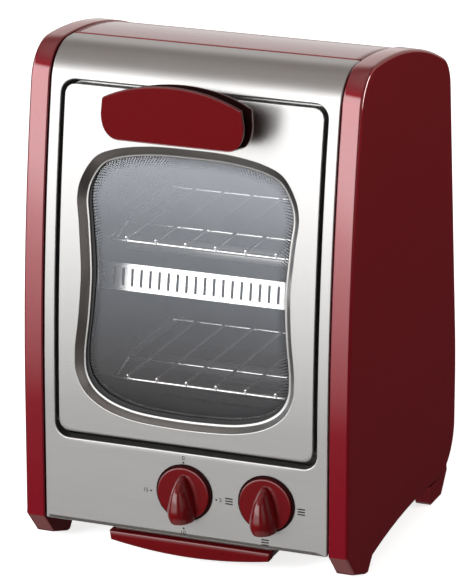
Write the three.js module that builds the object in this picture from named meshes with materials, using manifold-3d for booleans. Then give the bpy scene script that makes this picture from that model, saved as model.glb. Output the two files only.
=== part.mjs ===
// Upright two-deck electric oven, in millimetres.
// +X is to the right seen from the front, +Y to the back, +Z up.
// The origin is on the standing surface, under the middle of the oven and its handle.

import * as THREE from 'three';
import { mergeVertices } from 'three/addons/utils/BufferGeometryUtils.js';
import Module from 'manifold-3d';

const wasm = await Module();
wasm.setup();

// Case
const caseWidth = 238;
const caseHeight = 359;
const frontY = -106.6;
const rearY = 123.4;
const sheet = 1;
const fit = 0.3;
const overrun = 5;
const steelSetback = 0.8;

// Side outline of the case
const leanStartZ = 110;
const leanRadius = 1330;
const frontTopRound = 30;
const topApexY = frontY + 55;
const topRadius = 330;
const rearTopRound = 28;
const rearLeanTopZ = caseHeight - 61;
const rearLeanIn = 21.5;
const rearKneeZ = 100;
const rearKneeReach = 22;
const rearBottomRound = 35;
const undersideRearZ = 14.5;
const undersideArchZ = 21.4;
const undersideArchY = rearY - 105.1;
const undersideFrontZ = 8.7;
const undersideFrontY = frontY + 52;
const footRearY = frontY + 44;
const frontBottomRound = 40;

// Side panels
const panelThickness = 14;
const panelWall = 2.5;
const panelEdgeRound = 3;
const panelFit = 0.5;

// Sheet-metal covers
const fasciaBottomZ = 25;
const fasciaLip = 12;
const steelHalfWidth = caseWidth / 2 - panelThickness - panelFit;
const seamRun = 10.1;
const seamGap = 0.5;
const rearSeamDrop = 7.1;
const coverLip = 10;
const ventWidthShare = 0.44;
const ventHeight = 4;
const ventPitch = 11;
const ventRows = 7;
const ventColumns = 3;
const ventDrop = 100;
const ventSpacingShare = 0.555;

// Door and its opening
const doorMargin = 11.2;
const doorHalfWidth = steelHalfWidth - doorMargin;
const doorBottomZ = 91;
const doorTopZ = caseHeight - 25;
const doorCorner = 7.5;
const doorDepth = 13;
const doorSideGap = 2.6;
const doorTopGap = 2.6;
const doorBottomGap = 4.7;
const openingFlange = 9;
const hingeInset = 6;
const hingePinRadius = 2.5;
const hingePinLength = 15;
const hingeHeadRadius = 3.4;
const hingeHeadBack = 2.6;
const hingeEarHalf = 4.2;
const hingeHeadLength = 1.5;

// Window, as half of its outline from the top centre to the bottom centre
const windowSideMargin = 13.7;
const windowTopMargin = 35.6;
const windowBottomMargin = 13;
const windowHalfWidth = doorHalfWidth - windowSideMargin;
const windowHalfHeight = (doorTopZ - windowTopMargin - doorBottomZ - windowBottomMargin) / 2;
const windowCentreZ = doorBottomZ + windowBottomMargin + windowHalfHeight;
const windowAcrossShares = [
  0, 0.39, 0.69, 0.845, 0.965, 1, 0.979, 0.947,
  0.942, 0.962, 1, 0.984, 0.902, 0.754, 0.515, 0.19,
];
const windowUpShares = [
  1, 0.99, 0.945, 0.883, 0.731, 0.6, 0.406, 0.142,
  0.02, -0.239, -0.537, -0.691, -0.817, -0.909, -0.973, -0.997,
];
const windowSteps = 60;
const recessWidth = 4.45;
const recessDepth = 5.7;
const recessSheet = 1.3;
const lipInset = 6.3;
const gasketWidth = 3.6;
const gasketThickness = 1;
const glassThickness = 3;
const glassInset = 2;
const collarWidth = 3;

// Handle
const handleZ = doorTopZ - 6;
const handleHalfWidth = 50.2;
const handleRise = 14.3;
const handleDrop = 25.2;
const handleTipUp = 3;
const handleSideShare = 0.44;
const handleRoundShare = 0.5;
const handleArchShare = 0.55;
const handleReach = 40;
const handleFlareDegrees = 13;
const handlePlate = 3;
const handleTrough = 19.5;
const handleFloorReach = 33;
const handleFloor = 3;
const stemWidth = 44;
const stemHeight = 16;
const stemUp = -4;
const handleScrewSpacing = 28;
const screwRadius = 1.6;
const screwLength = 9;
const screwHeadRadius = 3.6;
const screwHeadHeight = 2.2;

// Knobs
const knobZ = 57.6;
const timerX = 0;
const selectorX = steelHalfWidth - 44.5;
const knobRadius = 20.5;
const knobDisc = 6;
const knobBackGap = 1;
const knobEdge = 1.2;
const finHeight = 13;
const finHalfWidth = 9.6;
const finTipUp = 13.6;
const finWidthShares = [0, 0.97, 1, 0.86, 0.55, 0.26];
const finAlongShares = [-1, -1, -0.62, -0.25, 0.2, 0.52];
const shaftRadius = 3;
const shaftIntoKnob = 4;
const shaftIntoUnit = 16;
const collarRadius = 5;

// Controls behind the fascia
const timerSize = 44;
const timerDepth = 30;
const switchSize = 36;
const switchDepth = 27;

// Cavity
const frameInset = 16.4;
const cavityHalfWidth = doorHalfWidth - 5.3;
const cavityFloorZ = doorBottomZ + 7;
const cavityRoofZ = caseHeight - 42;
const cavityRearY = rearY - 47.1;
const frameMargin = 4;
const chuteHalfWidth = cavityHalfWidth - 38;
const chuteHalfDepth = 48;
const crumbSlotLength = 2 * chuteHalfWidth - 8;
const crumbSlotWidth = 9;
const crumbSlotPitch = 20;
const crumbSlots = 5;
const crumbCentreY = cavityRearY - 68;

// Heaters
const heaterY = cavityRearY - 70;
const heaterRadius = 5.25;
const topHeaterZ = cavityRoofZ - 14;
const middleHeaterShare = 0.443;
const middleHeaterZ = cavityFloorZ + (cavityRoofZ - cavityFloorZ) * middleHeaterShare;
const bottomHeaterZ = cavityFloorZ + 10;
const heaterEnd = 8;
const capRadius = 8;
const capLength = 12;
const capBoreDepth = 8.4;

// Guard in front of the middle heater
const guardY = frontY + 38.9;
const guardBottomZ = middleHeaterZ - 10.3;
const guardTopZ = middleHeaterZ + 8.5;
const guardPitchShare = 0.0381;
const guardSlotPitch = 2 * cavityHalfWidth * guardPitchShare;
const guardSlotWidth = 2;
const guardSlotHeight = 12.4;
const guardSlots = 25;

// Racks and their rails
const upperRackZ = middleHeaterZ + 27.6;
const lowerRackZ = cavityFloorZ + 24.8;
const rackFrameRadius = 1.5;
const rackWireRadius = 1.1;
const rackFrontY = frontY + 32.5;
const rackRearY = cavityRearY - 19;
const rackFrontHalf = cavityHalfWidth - 24;
const rackShoulderHalf = cavityHalfWidth - 12.5;
const rackShoulderY = rackFrontY + 53.4;
const rackRearHalf = cavityHalfWidth - 11.5;
const rackBend = 6;
const rackPitchShare = 0.3422;
const rackWirePitch = rackFrontHalf * rackPitchShare;
const rackWires = 6;
const rackCrossY = rackFrontY + 41.4;
const rackTipDrop = 2.6;
const railWidth = 16;
const railHeight = 7;
const railFrontY = frontY + 40.9;
const railRearY = cavityRearY - 6;

// Crumb tray
const trayHalfWidth = chuteHalfWidth + 8;
const trayFrontY = frontY + 16.9;
const trayRearY = cavityRearY - 12;
const trayBottomZ = 12;
const trayRimZ = 20.7;
const trayRim = 1.7;
const trayHandleHalf = trayHalfWidth + 1.5;
const trayHandleTopZ = 18.7;
const trayHandleEndZ = 12;
const trayHandleMidZ = 6.7;
const trayHandleDepth = 9;
const baseTopZ = 24.7;
const baseFrontY = frontY + 8.9;
const baseRearY = rearY - 13.1;
const trayRailFoot = 8;
const trayRailFrontY = trayFrontY + 8;
const trayRailRearY = trayRearY + 4;

// Feet, rear fittings and wiring
const footFrontY = rearY - 51.1;
const footBackY = rearY - 13.1;
const footFlatBackY = rearY - 25.1;
const footHalfWidth = 5.5;
const footX = (caseWidth - panelThickness) / 2;
const footChamfer = 2;
const glandX = 42.5 - steelHalfWidth;
const glandZ = 66;
const glandRadius = 8;
const glandFlange = 11;
const glandFlangeThickness = 5;
const glandBore = 3.6;
const glandSpan = 5;
const rearScrewLength = 5;
const rearScrewX = steelHalfWidth - 7.5;
const rearScrewLowZ = 62;
const rearScrewDrop = 16;
const blockWidth = 34;
const blockDepth = 16;
const blockHeight = 20;
const blockX = glandX;
const blockY = baseRearY - 20;
const cutoutRadius = 8;
const cutoutHeight = 6;
const cutoutX = 40;
const cutoutY = cavityRearY - 38;
const wireRadius = 2.5;
const wireSteps = 18;

// Number of straight steps on curved stretches
const leanSteps = 11;
const cornerSteps = 5;
const seamSteps = 2;
const topSteps = 7;
const kneeSteps = 4;
const panelEdgeSteps = 3;
const bendSteps = 3;
const roundSides = 16;
const wireSides = 6;

// Drawing planes: a side drawing is (y, z) and goes along +X; a front drawing is (x, z) and goes along -Y
const alongX = new THREE.Vector3(1, 0, 0);
const alongY = new THREE.Vector3(0, 1, 0);
const alongZ = new THREE.Vector3(0, 0, 1);
const sidePlane = new THREE.Matrix4().makeBasis(alongY, alongZ, alongX);
const frontPlane = new THREE.Matrix4().makeBasis(alongX, alongZ, alongY.clone().negate());

// Solids
function solid(geometry) {
  const bare = geometry.clone();
  bare.deleteAttribute('normal');
  bare.deleteAttribute('uv');
  const merged = mergeVertices(bare);
  return new wasm.Manifold(new wasm.Mesh({
    numProp: 3,
    vertProperties: new Float32Array(merged.attributes.position.array),
    triVerts: new Uint32Array(merged.index.array),
  }));
}

function geometryOf(body) {
  const mesh = body.getMesh();
  const geometry = new THREE.BufferGeometry();
  geometry.setAttribute('position', new THREE.BufferAttribute(mesh.vertProperties, mesh.numProp));
  geometry.setIndex(new THREE.BufferAttribute(mesh.triVerts, 1));
  geometry.computeVertexNormals();
  return geometry;
}

function shapeOf(points) {
  return new THREE.Shape(points.map(([u, v]) => new THREE.Vector2(u, v)));
}

function prism(points, plane, from, to) {
  const geometry = new THREE.ExtrudeGeometry(shapeOf(points), { depth: to - from, bevelEnabled: false });
  geometry.translate(0, 0, from);
  geometry.applyMatrix4(plane);
  return solid(geometry);
}

function alongSide(points, fromX, toX) {
  return prism(points, sidePlane, fromX, toX);
}

function throughFront(points, frontEnd, backEnd) {
  return prism(points, frontPlane, -backEnd, -frontEnd);
}

function upward(points, fromZ, toZ) {
  return prism(points, new THREE.Matrix4(), fromZ, toZ);
}

function block(x0, x1, y0, y1, z0, z1) {
  return wasm.Manifold.cube([x1 - x0, y1 - y0, z1 - z0]).translate([x0, y0, z0]);
}

function rod(radius, from, to, sides = roundSides) {
  const start = new THREE.Vector3(...from);
  const reach = new THREE.Vector3(...to).sub(start);
  const geometry = new THREE.CylinderGeometry(radius, radius, reach.length(), sides);
  geometry.translate(0, reach.length() / 2, 0);
  geometry.applyQuaternion(new THREE.Quaternion().setFromUnitVectors(alongY, reach.normalize()));
  geometry.translate(start.x, start.y, start.z);
  return solid(geometry);
}

function tube(curve, radius, steps, sides = wireSides) {
  const ring = Array.from({ length: sides }, (_, i) => {
    const turn = (i / sides) * Math.PI * 2;
    return [radius * Math.cos(turn), radius * Math.sin(turn)];
  });
  return solid(new THREE.ExtrudeGeometry(shapeOf(ring), { steps, extrudePath: curve, bevelEnabled: false }));
}

function turned(profile, sides = roundSides) {
  return solid(new THREE.LatheGeometry(profile.map(([r, h]) => new THREE.Vector2(r, h)), sides));
}

function joined(parts) {
  return parts.reduce((whole, part) => whole.add(part));
}

function roundedRect(halfWidth, z0, z1, corner) {
  const shape = new THREE.Shape();
  shape.moveTo(-halfWidth + corner, z0);
  shape.lineTo(halfWidth - corner, z0);
  shape.absarc(halfWidth - corner, z0 + corner, corner, -Math.PI / 2, 0);
  shape.lineTo(halfWidth, z1 - corner);
  shape.absarc(halfWidth - corner, z1 - corner, corner, 0, Math.PI / 2);
  shape.lineTo(-halfWidth + corner, z1);
  shape.absarc(-halfWidth + corner, z1 - corner, corner, Math.PI / 2, Math.PI);
  shape.lineTo(-halfWidth, z0 + corner);
  shape.absarc(-halfWidth + corner, z0 + corner, corner, Math.PI, Math.PI * 1.5);
  return shape.extractPoints(cornerSteps).shape.map((p) => [p.x, p.y]);
}

// Flat drawing helpers
function arc(centre, radius, from, to, steps) {
  const start = Math.atan2(from[1] - centre[1], from[0] - centre[0]);
  let sweep = Math.atan2(to[1] - centre[1], to[0] - centre[0]) - start;
  if (sweep > Math.PI) sweep -= Math.PI * 2;
  if (sweep < -Math.PI) sweep += Math.PI * 2;
  return Array.from({ length: steps + 1 }, (_, i) => {
    const turn = start + (sweep * i) / steps;
    return [centre[0] + radius * Math.cos(turn), centre[1] + radius * Math.sin(turn)];
  });
}

// Moves a line to its right-hand side, which is inwards on a line drawn clockwise
function inset(points, distance, closed = false) {
  const count = points.length;
  return points.map((point, i) => {
    const before = closed ? points[(i + count - 1) % count] : points[Math.max(i - 1, 0)];
    const after = closed ? points[(i + 1) % count] : points[Math.min(i + 1, count - 1)];
    const normals = [[before, point], [point, after]]
      .filter(([a, b]) => a !== b)
      .map(([a, b]) => {
        const length = Math.hypot(b[0] - a[0], b[1] - a[1]);
        return [(b[1] - a[1]) / length, (a[0] - b[0]) / length];
      });
    const sum = normals.reduce((a, b) => [a[0] + b[0], a[1] + b[1]]);
    const length = Math.hypot(...sum);
    const unit = [sum[0] / length, sum[1] / length];
    const reach = distance / (unit[0] * normals[0][0] + unit[1] * normals[0][1]);
    return [point[0] + unit[0] * reach, point[1] + unit[1] * reach];
  });
}

function sheetOf(path, outer, inner) {
  return [...inset(path, outer), ...inset(path, inner).reverse()];
}

function towards(centre, through, radius) {
  const length = Math.hypot(through[0] - centre[0], through[1] - centre[1]);
  return [
    centre[0] + ((through[0] - centre[0]) * radius) / length,
    centre[1] + ((through[1] - centre[1]) * radius) / length,
  ];
}

// Front-top corner: a round that touches the leaning front and the domed top
const leanCentre = [frontY + leanRadius, leanStartZ];
const topCentre = [topApexY, caseHeight - topRadius];
const leanReach = leanRadius - frontTopRound;
const topReach = topRadius - frontTopRound;
const centreSpan = Math.hypot(leanCentre[0] - topCentre[0], leanCentre[1] - topCentre[1]);
const alongSpan = (topReach ** 2 - leanReach ** 2 + centreSpan ** 2) / (2 * centreSpan);
const offSpan = Math.sqrt(topReach ** 2 - alongSpan ** 2);
const spanY = (leanCentre[0] - topCentre[0]) / centreSpan;
const spanZ = (leanCentre[1] - topCentre[1]) / centreSpan;
const frontTopCentre = [
  topCentre[0] + spanY * alongSpan - spanZ * offSpan,
  topCentre[1] + spanZ * alongSpan + spanY * offSpan,
];
const leanEnd = towards(leanCentre, frontTopCentre, leanRadius);
const topStart = towards(topCentre, frontTopCentre, topRadius);
const topSeamY = topStart[0] + seamRun;

// Rear-top corner: a round that touches the domed top and the leaning rear
const rearRun = rearLeanTopZ - rearKneeZ;
const rearLength = Math.hypot(rearLeanIn, rearRun);
const rearUp = [-rearLeanIn / rearLength, rearRun / rearLength];
const rearIn = [-rearUp[1], rearUp[0]];
const rearStart = [
  rearY + rearIn[0] * rearTopRound - topCentre[0],
  rearKneeZ + rearIn[1] * rearTopRound - topCentre[1],
];
const rearAlong = rearStart[0] * rearUp[0] + rearStart[1] * rearUp[1];
const rearApart = rearStart[0] ** 2 + rearStart[1] ** 2 - (topRadius - rearTopRound) ** 2;
const rearTopRun = -rearAlong + Math.sqrt(rearAlong ** 2 - rearApart);
const rearTopCentre = [
  topCentre[0] + rearStart[0] + rearUp[0] * rearTopRun,
  topCentre[1] + rearStart[1] + rearUp[1] * rearTopRun,
];
const topEnd = towards(topCentre, rearTopCentre, topRadius);
const rearTop = [rearTopCentre[0] - rearIn[0] * rearTopRound, rearTopCentre[1] - rearIn[1] * rearTopRound];
const rearSeamZ = rearTop[1] - rearSeamDrop;
const rearScrewHighZ = rearSeamZ - rearScrewDrop;

function rearAt(z) {
  return [rearY + (rearUp[0] / rearUp[1]) * (z - rearKneeZ), z];
}

function topAt(y) {
  return [y, topCentre[1] + Math.sqrt(topRadius ** 2 - (y - topCentre[0]) ** 2)];
}

function frontAt(z) {
  return leanCentre[0] - Math.sqrt(leanRadius ** 2 - Math.max(0, z - leanStartZ) ** 2);
}

// Stretches of the side outline, drawn clockwise from the front foot
const frontFoot = arc(
  [frontY + frontBottomRound, frontBottomRound],
  frontBottomRound,
  [frontY + frontBottomRound, 0],
  [frontY, frontBottomRound],
  cornerSteps,
);
const leanArc = arc(leanCentre, leanRadius, [frontY, leanStartZ], leanEnd, leanSteps);
const frontTopArc = arc(frontTopCentre, frontTopRound, leanEnd, topStart, cornerSteps);
const seamArc = arc(topCentre, topRadius, topStart, topAt(topSeamY), seamSteps);
const coverArc = arc(topCentre, topRadius, topAt(topSeamY + seamGap), topEnd, topSteps);
const rearTopArc = arc(rearTopCentre, rearTopRound, topEnd, rearTop, cornerSteps);
const kneeCurve = new THREE.QuadraticBezierCurve(
  new THREE.Vector2(...rearAt(rearKneeZ + rearKneeReach)),
  new THREE.Vector2(rearY, rearKneeZ),
  new THREE.Vector2(rearY, rearKneeZ - rearKneeReach),
);
const kneeArc = kneeCurve.getPoints(kneeSteps).map((p) => [p.x, p.y]);
const rearBottomCentre = [rearY - rearBottomRound, undersideRearZ + rearBottomRound];
const rearBottomArc = arc(
  rearBottomCentre,
  rearBottomRound,
  [rearY, rearBottomCentre[1]],
  [rearBottomCentre[0], undersideRearZ],
  cornerSteps,
);
const archCurve = new THREE.QuadraticBezierCurve(
  new THREE.Vector2(rearBottomCentre[0], undersideRearZ),
  new THREE.Vector2(undersideArchY, undersideArchZ),
  new THREE.Vector2(undersideFrontY, undersideFrontZ),
);
const archArc = archCurve.getPoints(topSteps).map((p) => [p.x, p.y]);
const caseOutline = [
  ...frontFoot,
  ...leanArc,
  ...frontTopArc.slice(1),
  ...seamArc.slice(1),
  ...coverArc.slice(1),
  ...rearTopArc.slice(1),
  ...kneeArc,
  ...rearBottomArc,
  ...archArc.slice(1),
  [footRearY, 0],
];

// The stretch of the outline that the front sheet follows
const faceBottomZ = fasciaBottomZ - steelSetback;
const facePath = [[frontY, faceBottomZ], ...leanArc, ...frontTopArc.slice(1), ...seamArc.slice(1)];

function faceBand(outer, inner, halfWidth) {
  return alongSide(sheetOf(facePath, outer, inner), -halfWidth, halfWidth);
}

// Finishes
function finish(color, roughness, metalness) {
  return { color, roughness, metalness };
}

const redGloss = finish(0x6e0c14, 0.3, 0.1);
const brushedSteel = finish(0xb9b6b0, 0.35, 1);
const plainSteel = finish(0x9a9a98, 0.45, 1);
const darkSteel = finish(0x4a4b4e, 0.5, 0.8);
const chromeWire = finish(0xd8d8d8, 0.2, 1);
const blackPlastic = finish(0x151515, 0.6, 0);
const creamPlastic = finish(0xd9d2bf, 0.6, 0);
const ceramic = finish(0xe9e4d8, 0.7, 0);
const quartz = finish(0xe8e8e6, 0.5, 0);
const greyGlass = finish(0x5a5d63, 0.08, 0);
const rubber = finish(0x1c1c1c, 0.8, 0);

const oven = new THREE.Group();

function piece(name, body, look, parent = oven) {
  const mesh = new THREE.Mesh(geometryOf(body), new THREE.MeshStandardMaterial(look));
  mesh.name = name;
  parent.add(mesh);
  return mesh;
}

const sides = [['left', -1], ['right', 1]];

function between(side, near, far) {
  return side > 0 ? [near, far] : [-far, -near];
}

// Side panels: mouldings with a rounded outer edge, hollow towards the oven above a solid front foot
const panelInnerX = caseWidth / 2 - panelThickness;
const panelOuterX = caseWidth / 2;
const solidFoot = block(-caseWidth, caseWidth, frontY - overrun, undersideFrontY, -overrun, faceBottomZ);

function sidePanel(side) {
  const [lowX, highX] = between(side, panelInnerX - overrun, panelOuterX);
  const outer = new THREE.ExtrudeGeometry(shapeOf(caseOutline), {
    depth: highX - lowX - 2 * panelEdgeRound,
    bevelThickness: panelEdgeRound,
    bevelSize: panelEdgeRound,
    bevelOffset: -panelEdgeRound,
    bevelSegments: panelEdgeSteps,
  });
  outer.translate(0, 0, lowX + panelEdgeRound);
  outer.applyMatrix4(sidePlane);
  const hollow = alongSide(
    inset(caseOutline, panelWall, true),
    ...between(side, panelInnerX - 2 * overrun, panelOuterX - panelWall),
  ).subtract(solidFoot);
  const trimX = between(side, panelInnerX - 2 * overrun, panelInnerX);
  const trim = block(trimX[0], trimX[1], frontY - overrun, rearY + overrun, -overrun, caseHeight + overrun);
  return solid(outer).subtract(hollow).subtract(trim);
}

for (const [word, side] of sides) {
  piece(`side_panel_${word}`, sidePanel(side), redGloss);
}

// Front fascia: one bent steel sheet with the door opening and two shaft holes
const openingHalfWidth = doorHalfWidth + doorSideGap;
const openingTopZ = doorTopZ + doorTopGap;
const openingBottomZ = doorBottomZ - doorBottomGap;
const openingCorner = doorCorner + doorSideGap;
const farBack = rearY;
const farFront = frontY - handleReach;
const openingRect = roundedRect(openingHalfWidth, openingBottomZ, openingTopZ, openingCorner);
const flangeRect = roundedRect(
  openingHalfWidth + sheet,
  openingBottomZ - sheet,
  openingTopZ + sheet,
  openingCorner + sheet,
);
const fasciaPath = [[frontY + fasciaLip, faceBottomZ], ...facePath];
const collarHole = collarRadius + fit;
const hingeY = frontY + steelSetback + hingeInset;
const hingeZ = doorBottomZ + hingeInset;
const hingeBore = rod(
  hingePinRadius + fit,
  [-caseWidth / 2, hingeY, hingeZ],
  [caseWidth / 2, hingeY, hingeZ],
);

function frontHole(x, radius, backY) {
  return rod(radius, [x, farFront, knobZ], [x, backY, knobZ]);
}

const fasciaFlange = faceBand(steelSetback, steelSetback + openingFlange, openingHalfWidth + 2 * sheet)
  .intersect(throughFront(flangeRect, farFront, farBack));
const fascia = alongSide(
  sheetOf(fasciaPath, steelSetback, steelSetback + sheet),
  -steelHalfWidth,
  steelHalfWidth,
)
  .add(fasciaFlange)
  .subtract(throughFront(openingRect, farFront, farBack))
  .subtract(hingeBore)
  .subtract(frontHole(timerX, collarHole, frontY + fasciaLip))
  .subtract(frontHole(selectorX, collarHole, frontY + fasciaLip));
piece('front_fascia', fascia, brushedSteel);

// Top cover and rear cover: bent sheets that share the case outline
const topPath = [...coverArc, ...rearTopArc.slice(1), rearAt(rearSeamZ)];
piece(
  'top_cover',
  alongSide(sheetOf(topPath, steelSetback, steelSetback + sheet), -steelHalfWidth, steelHalfWidth),
  redGloss,
);

const lipZ = fasciaBottomZ;
const lipDrop = rearBottomCentre[1] - lipZ;
const lipStart = [rearBottomCentre[0] + Math.sqrt(rearBottomRound ** 2 - lipDrop ** 2), lipZ];
const rearPath = [
  rearAt(rearSeamZ - seamGap),
  ...kneeArc,
  ...arc(rearBottomCentre, rearBottomRound, [rearY, rearBottomCentre[1]], lipStart, cornerSteps),
  [lipStart[0] - coverLip, lipZ],
];

function rearCover() {
  let cover = alongSide(sheetOf(rearPath, steelSetback, steelSetback + sheet), -steelHalfWidth, steelHalfWidth);
  const slots = [];
  const ventWidth = steelHalfWidth * ventWidthShare;
  for (let row = 0; row < ventRows; row += 1) {
    for (let column = 0; column < ventColumns; column += 1) {
      const x = (column - (ventColumns - 1) / 2) * steelHalfWidth * ventSpacingShare;
      const z = rearSeamZ - ventDrop + row * ventPitch;
      slots.push(block(x - ventWidth / 2, x + ventWidth / 2, cavityRearY, rearY, z, z + ventHeight));
    }
  }
  const screwHole = screwRadius + 2 * fit;
  cover = cover.subtract(joined(slots));
  cover = cover.subtract(rod(glandRadius + fit, [glandX, cavityRearY, glandZ], [glandX, rearY + overrun, glandZ]));
  for (const x of [-rearScrewX, rearScrewX]) {
    for (const z of [rearScrewLowZ, rearScrewHighZ]) {
      const [y] = rearAt(Math.max(z, rearKneeZ));
      cover = cover.subtract(rod(screwHole, [x, y - overrun, z], [x, y + overrun, z], roundSides / 2));
    }
  }
  return cover;
}

piece('rear_cover', rearCover(), redGloss);

// Base plate with the hole that crumbs fall through
const chuteInner = [
  [-chuteHalfWidth, crumbCentreY - chuteHalfDepth],
  [chuteHalfWidth, crumbCentreY - chuteHalfDepth],
  [chuteHalfWidth, crumbCentreY + chuteHalfDepth],
  [-chuteHalfWidth, crumbCentreY + chuteHalfDepth],
];
piece(
  'base_plate',
  block(-steelHalfWidth, steelHalfWidth, baseFrontY, baseRearY, baseTopZ - sheet, baseTopZ)
    .subtract(upward(chuteInner, baseTopZ - overrun, baseTopZ + overrun)),
  plainSteel,
);

// Door frame: the steel face around the cavity mouth that the door shuts against
const frameOuterRect = roundedRect(steelHalfWidth, openingBottomZ - frameMargin, openingTopZ + sheet, doorCorner);
const mouthRect = roundedRect(cavityHalfWidth, cavityFloorZ, cavityRoofZ, sheet);
piece(
  'door_frame',
  faceBand(frameInset, frameInset + sheet, steelHalfWidth)
    .intersect(throughFront(frameOuterRect, farFront, farBack))
    .subtract(throughFront(mouthRect, farFront, farBack)),
  darkSteel,
);

// Cavity: two side walls, roof, floor and rear wall
const cavityFrontInset = frameInset + sheet + fit;
const cavityRegion = alongSide(
  [
    ...inset(facePath, cavityFrontInset),
    [cavityRearY, caseHeight],
    [cavityRearY, faceBottomZ],
  ],
  -caseWidth / 2,
  caseWidth / 2,
);
const heaterHeights = [['top', topHeaterZ], ['middle', middleHeaterZ], ['bottom', bottomHeaterZ]];

function cavityPlate(x0, x1, z0, z1) {
  return cavityRegion.intersect(block(x0, x1, frontY, cavityRearY, z0, z1));
}

for (const [word, side] of sides) {
  let wall = cavityPlate(
    ...between(side, cavityHalfWidth, cavityHalfWidth + sheet),
    cavityFloorZ - sheet,
    cavityRoofZ + sheet,
  );
  for (const [, z] of heaterHeights) {
    wall = wall.subtract(
      rod(heaterRadius + fit, [-caseWidth / 2, heaterY, z], [caseWidth / 2, heaterY, z]),
    );
  }
  piece(`cavity_wall_${word}`, wall, darkSteel);
}

piece('cavity_roof', cavityPlate(-cavityHalfWidth, cavityHalfWidth, cavityRoofZ, cavityRoofZ + sheet), darkSteel);

let cavityFloor = cavityPlate(-cavityHalfWidth, cavityHalfWidth, cavityFloorZ - sheet, cavityFloorZ);
for (let slot = 0; slot < crumbSlots; slot += 1) {
  const y = crumbCentreY + (slot - (crumbSlots - 1) / 2) * crumbSlotPitch;
  cavityFloor = cavityFloor.subtract(block(
    -crumbSlotLength / 2,
    crumbSlotLength / 2,
    y - crumbSlotWidth / 2,
    y + crumbSlotWidth / 2,
    cavityFloorZ - overrun,
    cavityFloorZ + overrun,
  ));
}
piece('cavity_floor', cavityFloor, darkSteel);

const rearWallHalf = cavityHalfWidth + sheet;
piece(
  'cavity_rear_wall',
  block(-rearWallHalf, rearWallHalf, cavityRearY, cavityRearY + sheet, cavityFloorZ - sheet, cavityRoofZ + sheet),
  darkSteel,
);

// Crumb chute: a square duct from the slotted floor down to the base plate
const chuteOuter = inset([...chuteInner].reverse(), -sheet, true);
piece(
  'crumb_chute',
  upward(chuteOuter, baseTopZ, cavityFloorZ - sheet)
    .subtract(upward(chuteInner, baseTopZ - overrun, cavityFloorZ + overrun)),
  darkSteel,
);

// Heater tubes and their ceramic end caps
const heaterHalf = cavityHalfWidth + sheet + heaterEnd;
const capStart = cavityHalfWidth + sheet;

for (const [level, z] of heaterHeights) {
  piece(`heater_tube_${level}`, rod(heaterRadius, [-heaterHalf, heaterY, z], [heaterHalf, heaterY, z]), quartz);
  for (const [word, side] of sides) {
    const cap = rod(capRadius, [side * capStart, heaterY, z], [side * (capStart + capLength), heaterY, z])
      .subtract(rod(
        heaterRadius + fit,
        [side * (capStart - overrun), heaterY, z],
        [side * (capStart + capBoreDepth), heaterY, z],
      ));
    piece(`heater_cap_${level}_${word}`, cap, ceramic);
  }
}

// Slotted guard in front of the middle heater
const guardMiddleZ = (guardBottomZ + guardTopZ) / 2;
let guard = block(-cavityHalfWidth, cavityHalfWidth, guardY, guardY + sheet, guardBottomZ, guardTopZ);
for (let slot = 0; slot < guardSlots; slot += 1) {
  const x = (slot - (guardSlots - 1) / 2) * guardSlotPitch;
  guard = guard.subtract(block(
    x - guardSlotWidth / 2,
    x + guardSlotWidth / 2,
    guardY - overrun,
    guardY + overrun,
    guardMiddleZ - guardSlotHeight / 2,
    guardMiddleZ + guardSlotHeight / 2,
  ));
}
piece('heater_guard', guard, plainSteel);

// Rack rails: folded angles on the cavity walls
for (const [level, rackZ] of [['upper', upperRackZ], ['lower', lowerRackZ]]) {
  for (const [word, side] of sides) {
    const ledgeZ = rackZ - rackFrameRadius - fit;
    const ledge = block(
      ...between(side, cavityHalfWidth - railWidth, cavityHalfWidth),
      railFrontY,
      railRearY,
      ledgeZ - sheet,
      ledgeZ,
    );
    const web = block(
      ...between(side, cavityHalfWidth - sheet, cavityHalfWidth),
      railFrontY,
      railRearY,
      ledgeZ - railHeight,
      ledgeZ,
    );
    piece(`rack_rail_${level}_${word}`, ledge.add(web), plainSteel);
  }
}

// Timer and selector switch: boxes behind the fascia, each with a threaded collar round its shaft
const unitFrontY = frontY + steelSetback + sheet + fit;

function controlUnit(x, size, depth) {
  return block(x - size / 2, x + size / 2, unitFrontY, unitFrontY + depth, knobZ - size / 2, knobZ + size / 2)
    .add(rod(collarRadius, [x, frontY + steelSetback, knobZ], [x, unitFrontY + sheet, knobZ]))
    .subtract(rod(
      shaftRadius + fit,
      [x, farFront, knobZ],
      [x, unitFrontY + shaftIntoUnit + fit, knobZ],
    ));
}

piece('timer_unit', controlUnit(timerX, timerSize, timerDepth), creamPlastic);
piece('selector_switch', controlUnit(selectorX, switchSize, switchDepth), creamPlastic);

// Terminal block, thermal cut-out and the wiring between the rear inlet and the timer
piece(
  'terminal_block',
  block(
    blockX - blockWidth / 2,
    blockX + blockWidth / 2,
    blockY - blockDepth / 2,
    blockY + blockDepth / 2,
    baseTopZ,
    baseTopZ + blockHeight,
  ),
  creamPlastic,
);
piece(
  'thermal_cutout',
  rod(
    cutoutRadius,
    [cutoutX, cutoutY, cavityRoofZ + sheet],
    [cutoutX, cutoutY, cavityRoofZ + sheet + cutoutHeight],
  ),
  blackPlastic,
);
const wireZ = baseTopZ + blockHeight / 2;
const timerBackY = unitFrontY + timerDepth;
const wireRoute = new THREE.CatmullRomCurve3([
  new THREE.Vector3(blockX, blockY - blockDepth / 2 - fit, wireZ),
  new THREE.Vector3(blockX, blockY - 2 * blockDepth, wireZ),
  new THREE.Vector3(blockX, timerBackY + 2 * blockDepth, wireZ),
  new THREE.Vector3(blockX + blockDepth, timerBackY + 1.5 * blockDepth, knobZ),
  new THREE.Vector3(timerX - timerSize / 4, timerBackY + blockDepth, knobZ),
  new THREE.Vector3(timerX - timerSize / 4, timerBackY + 3 * fit, knobZ),
]);
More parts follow.
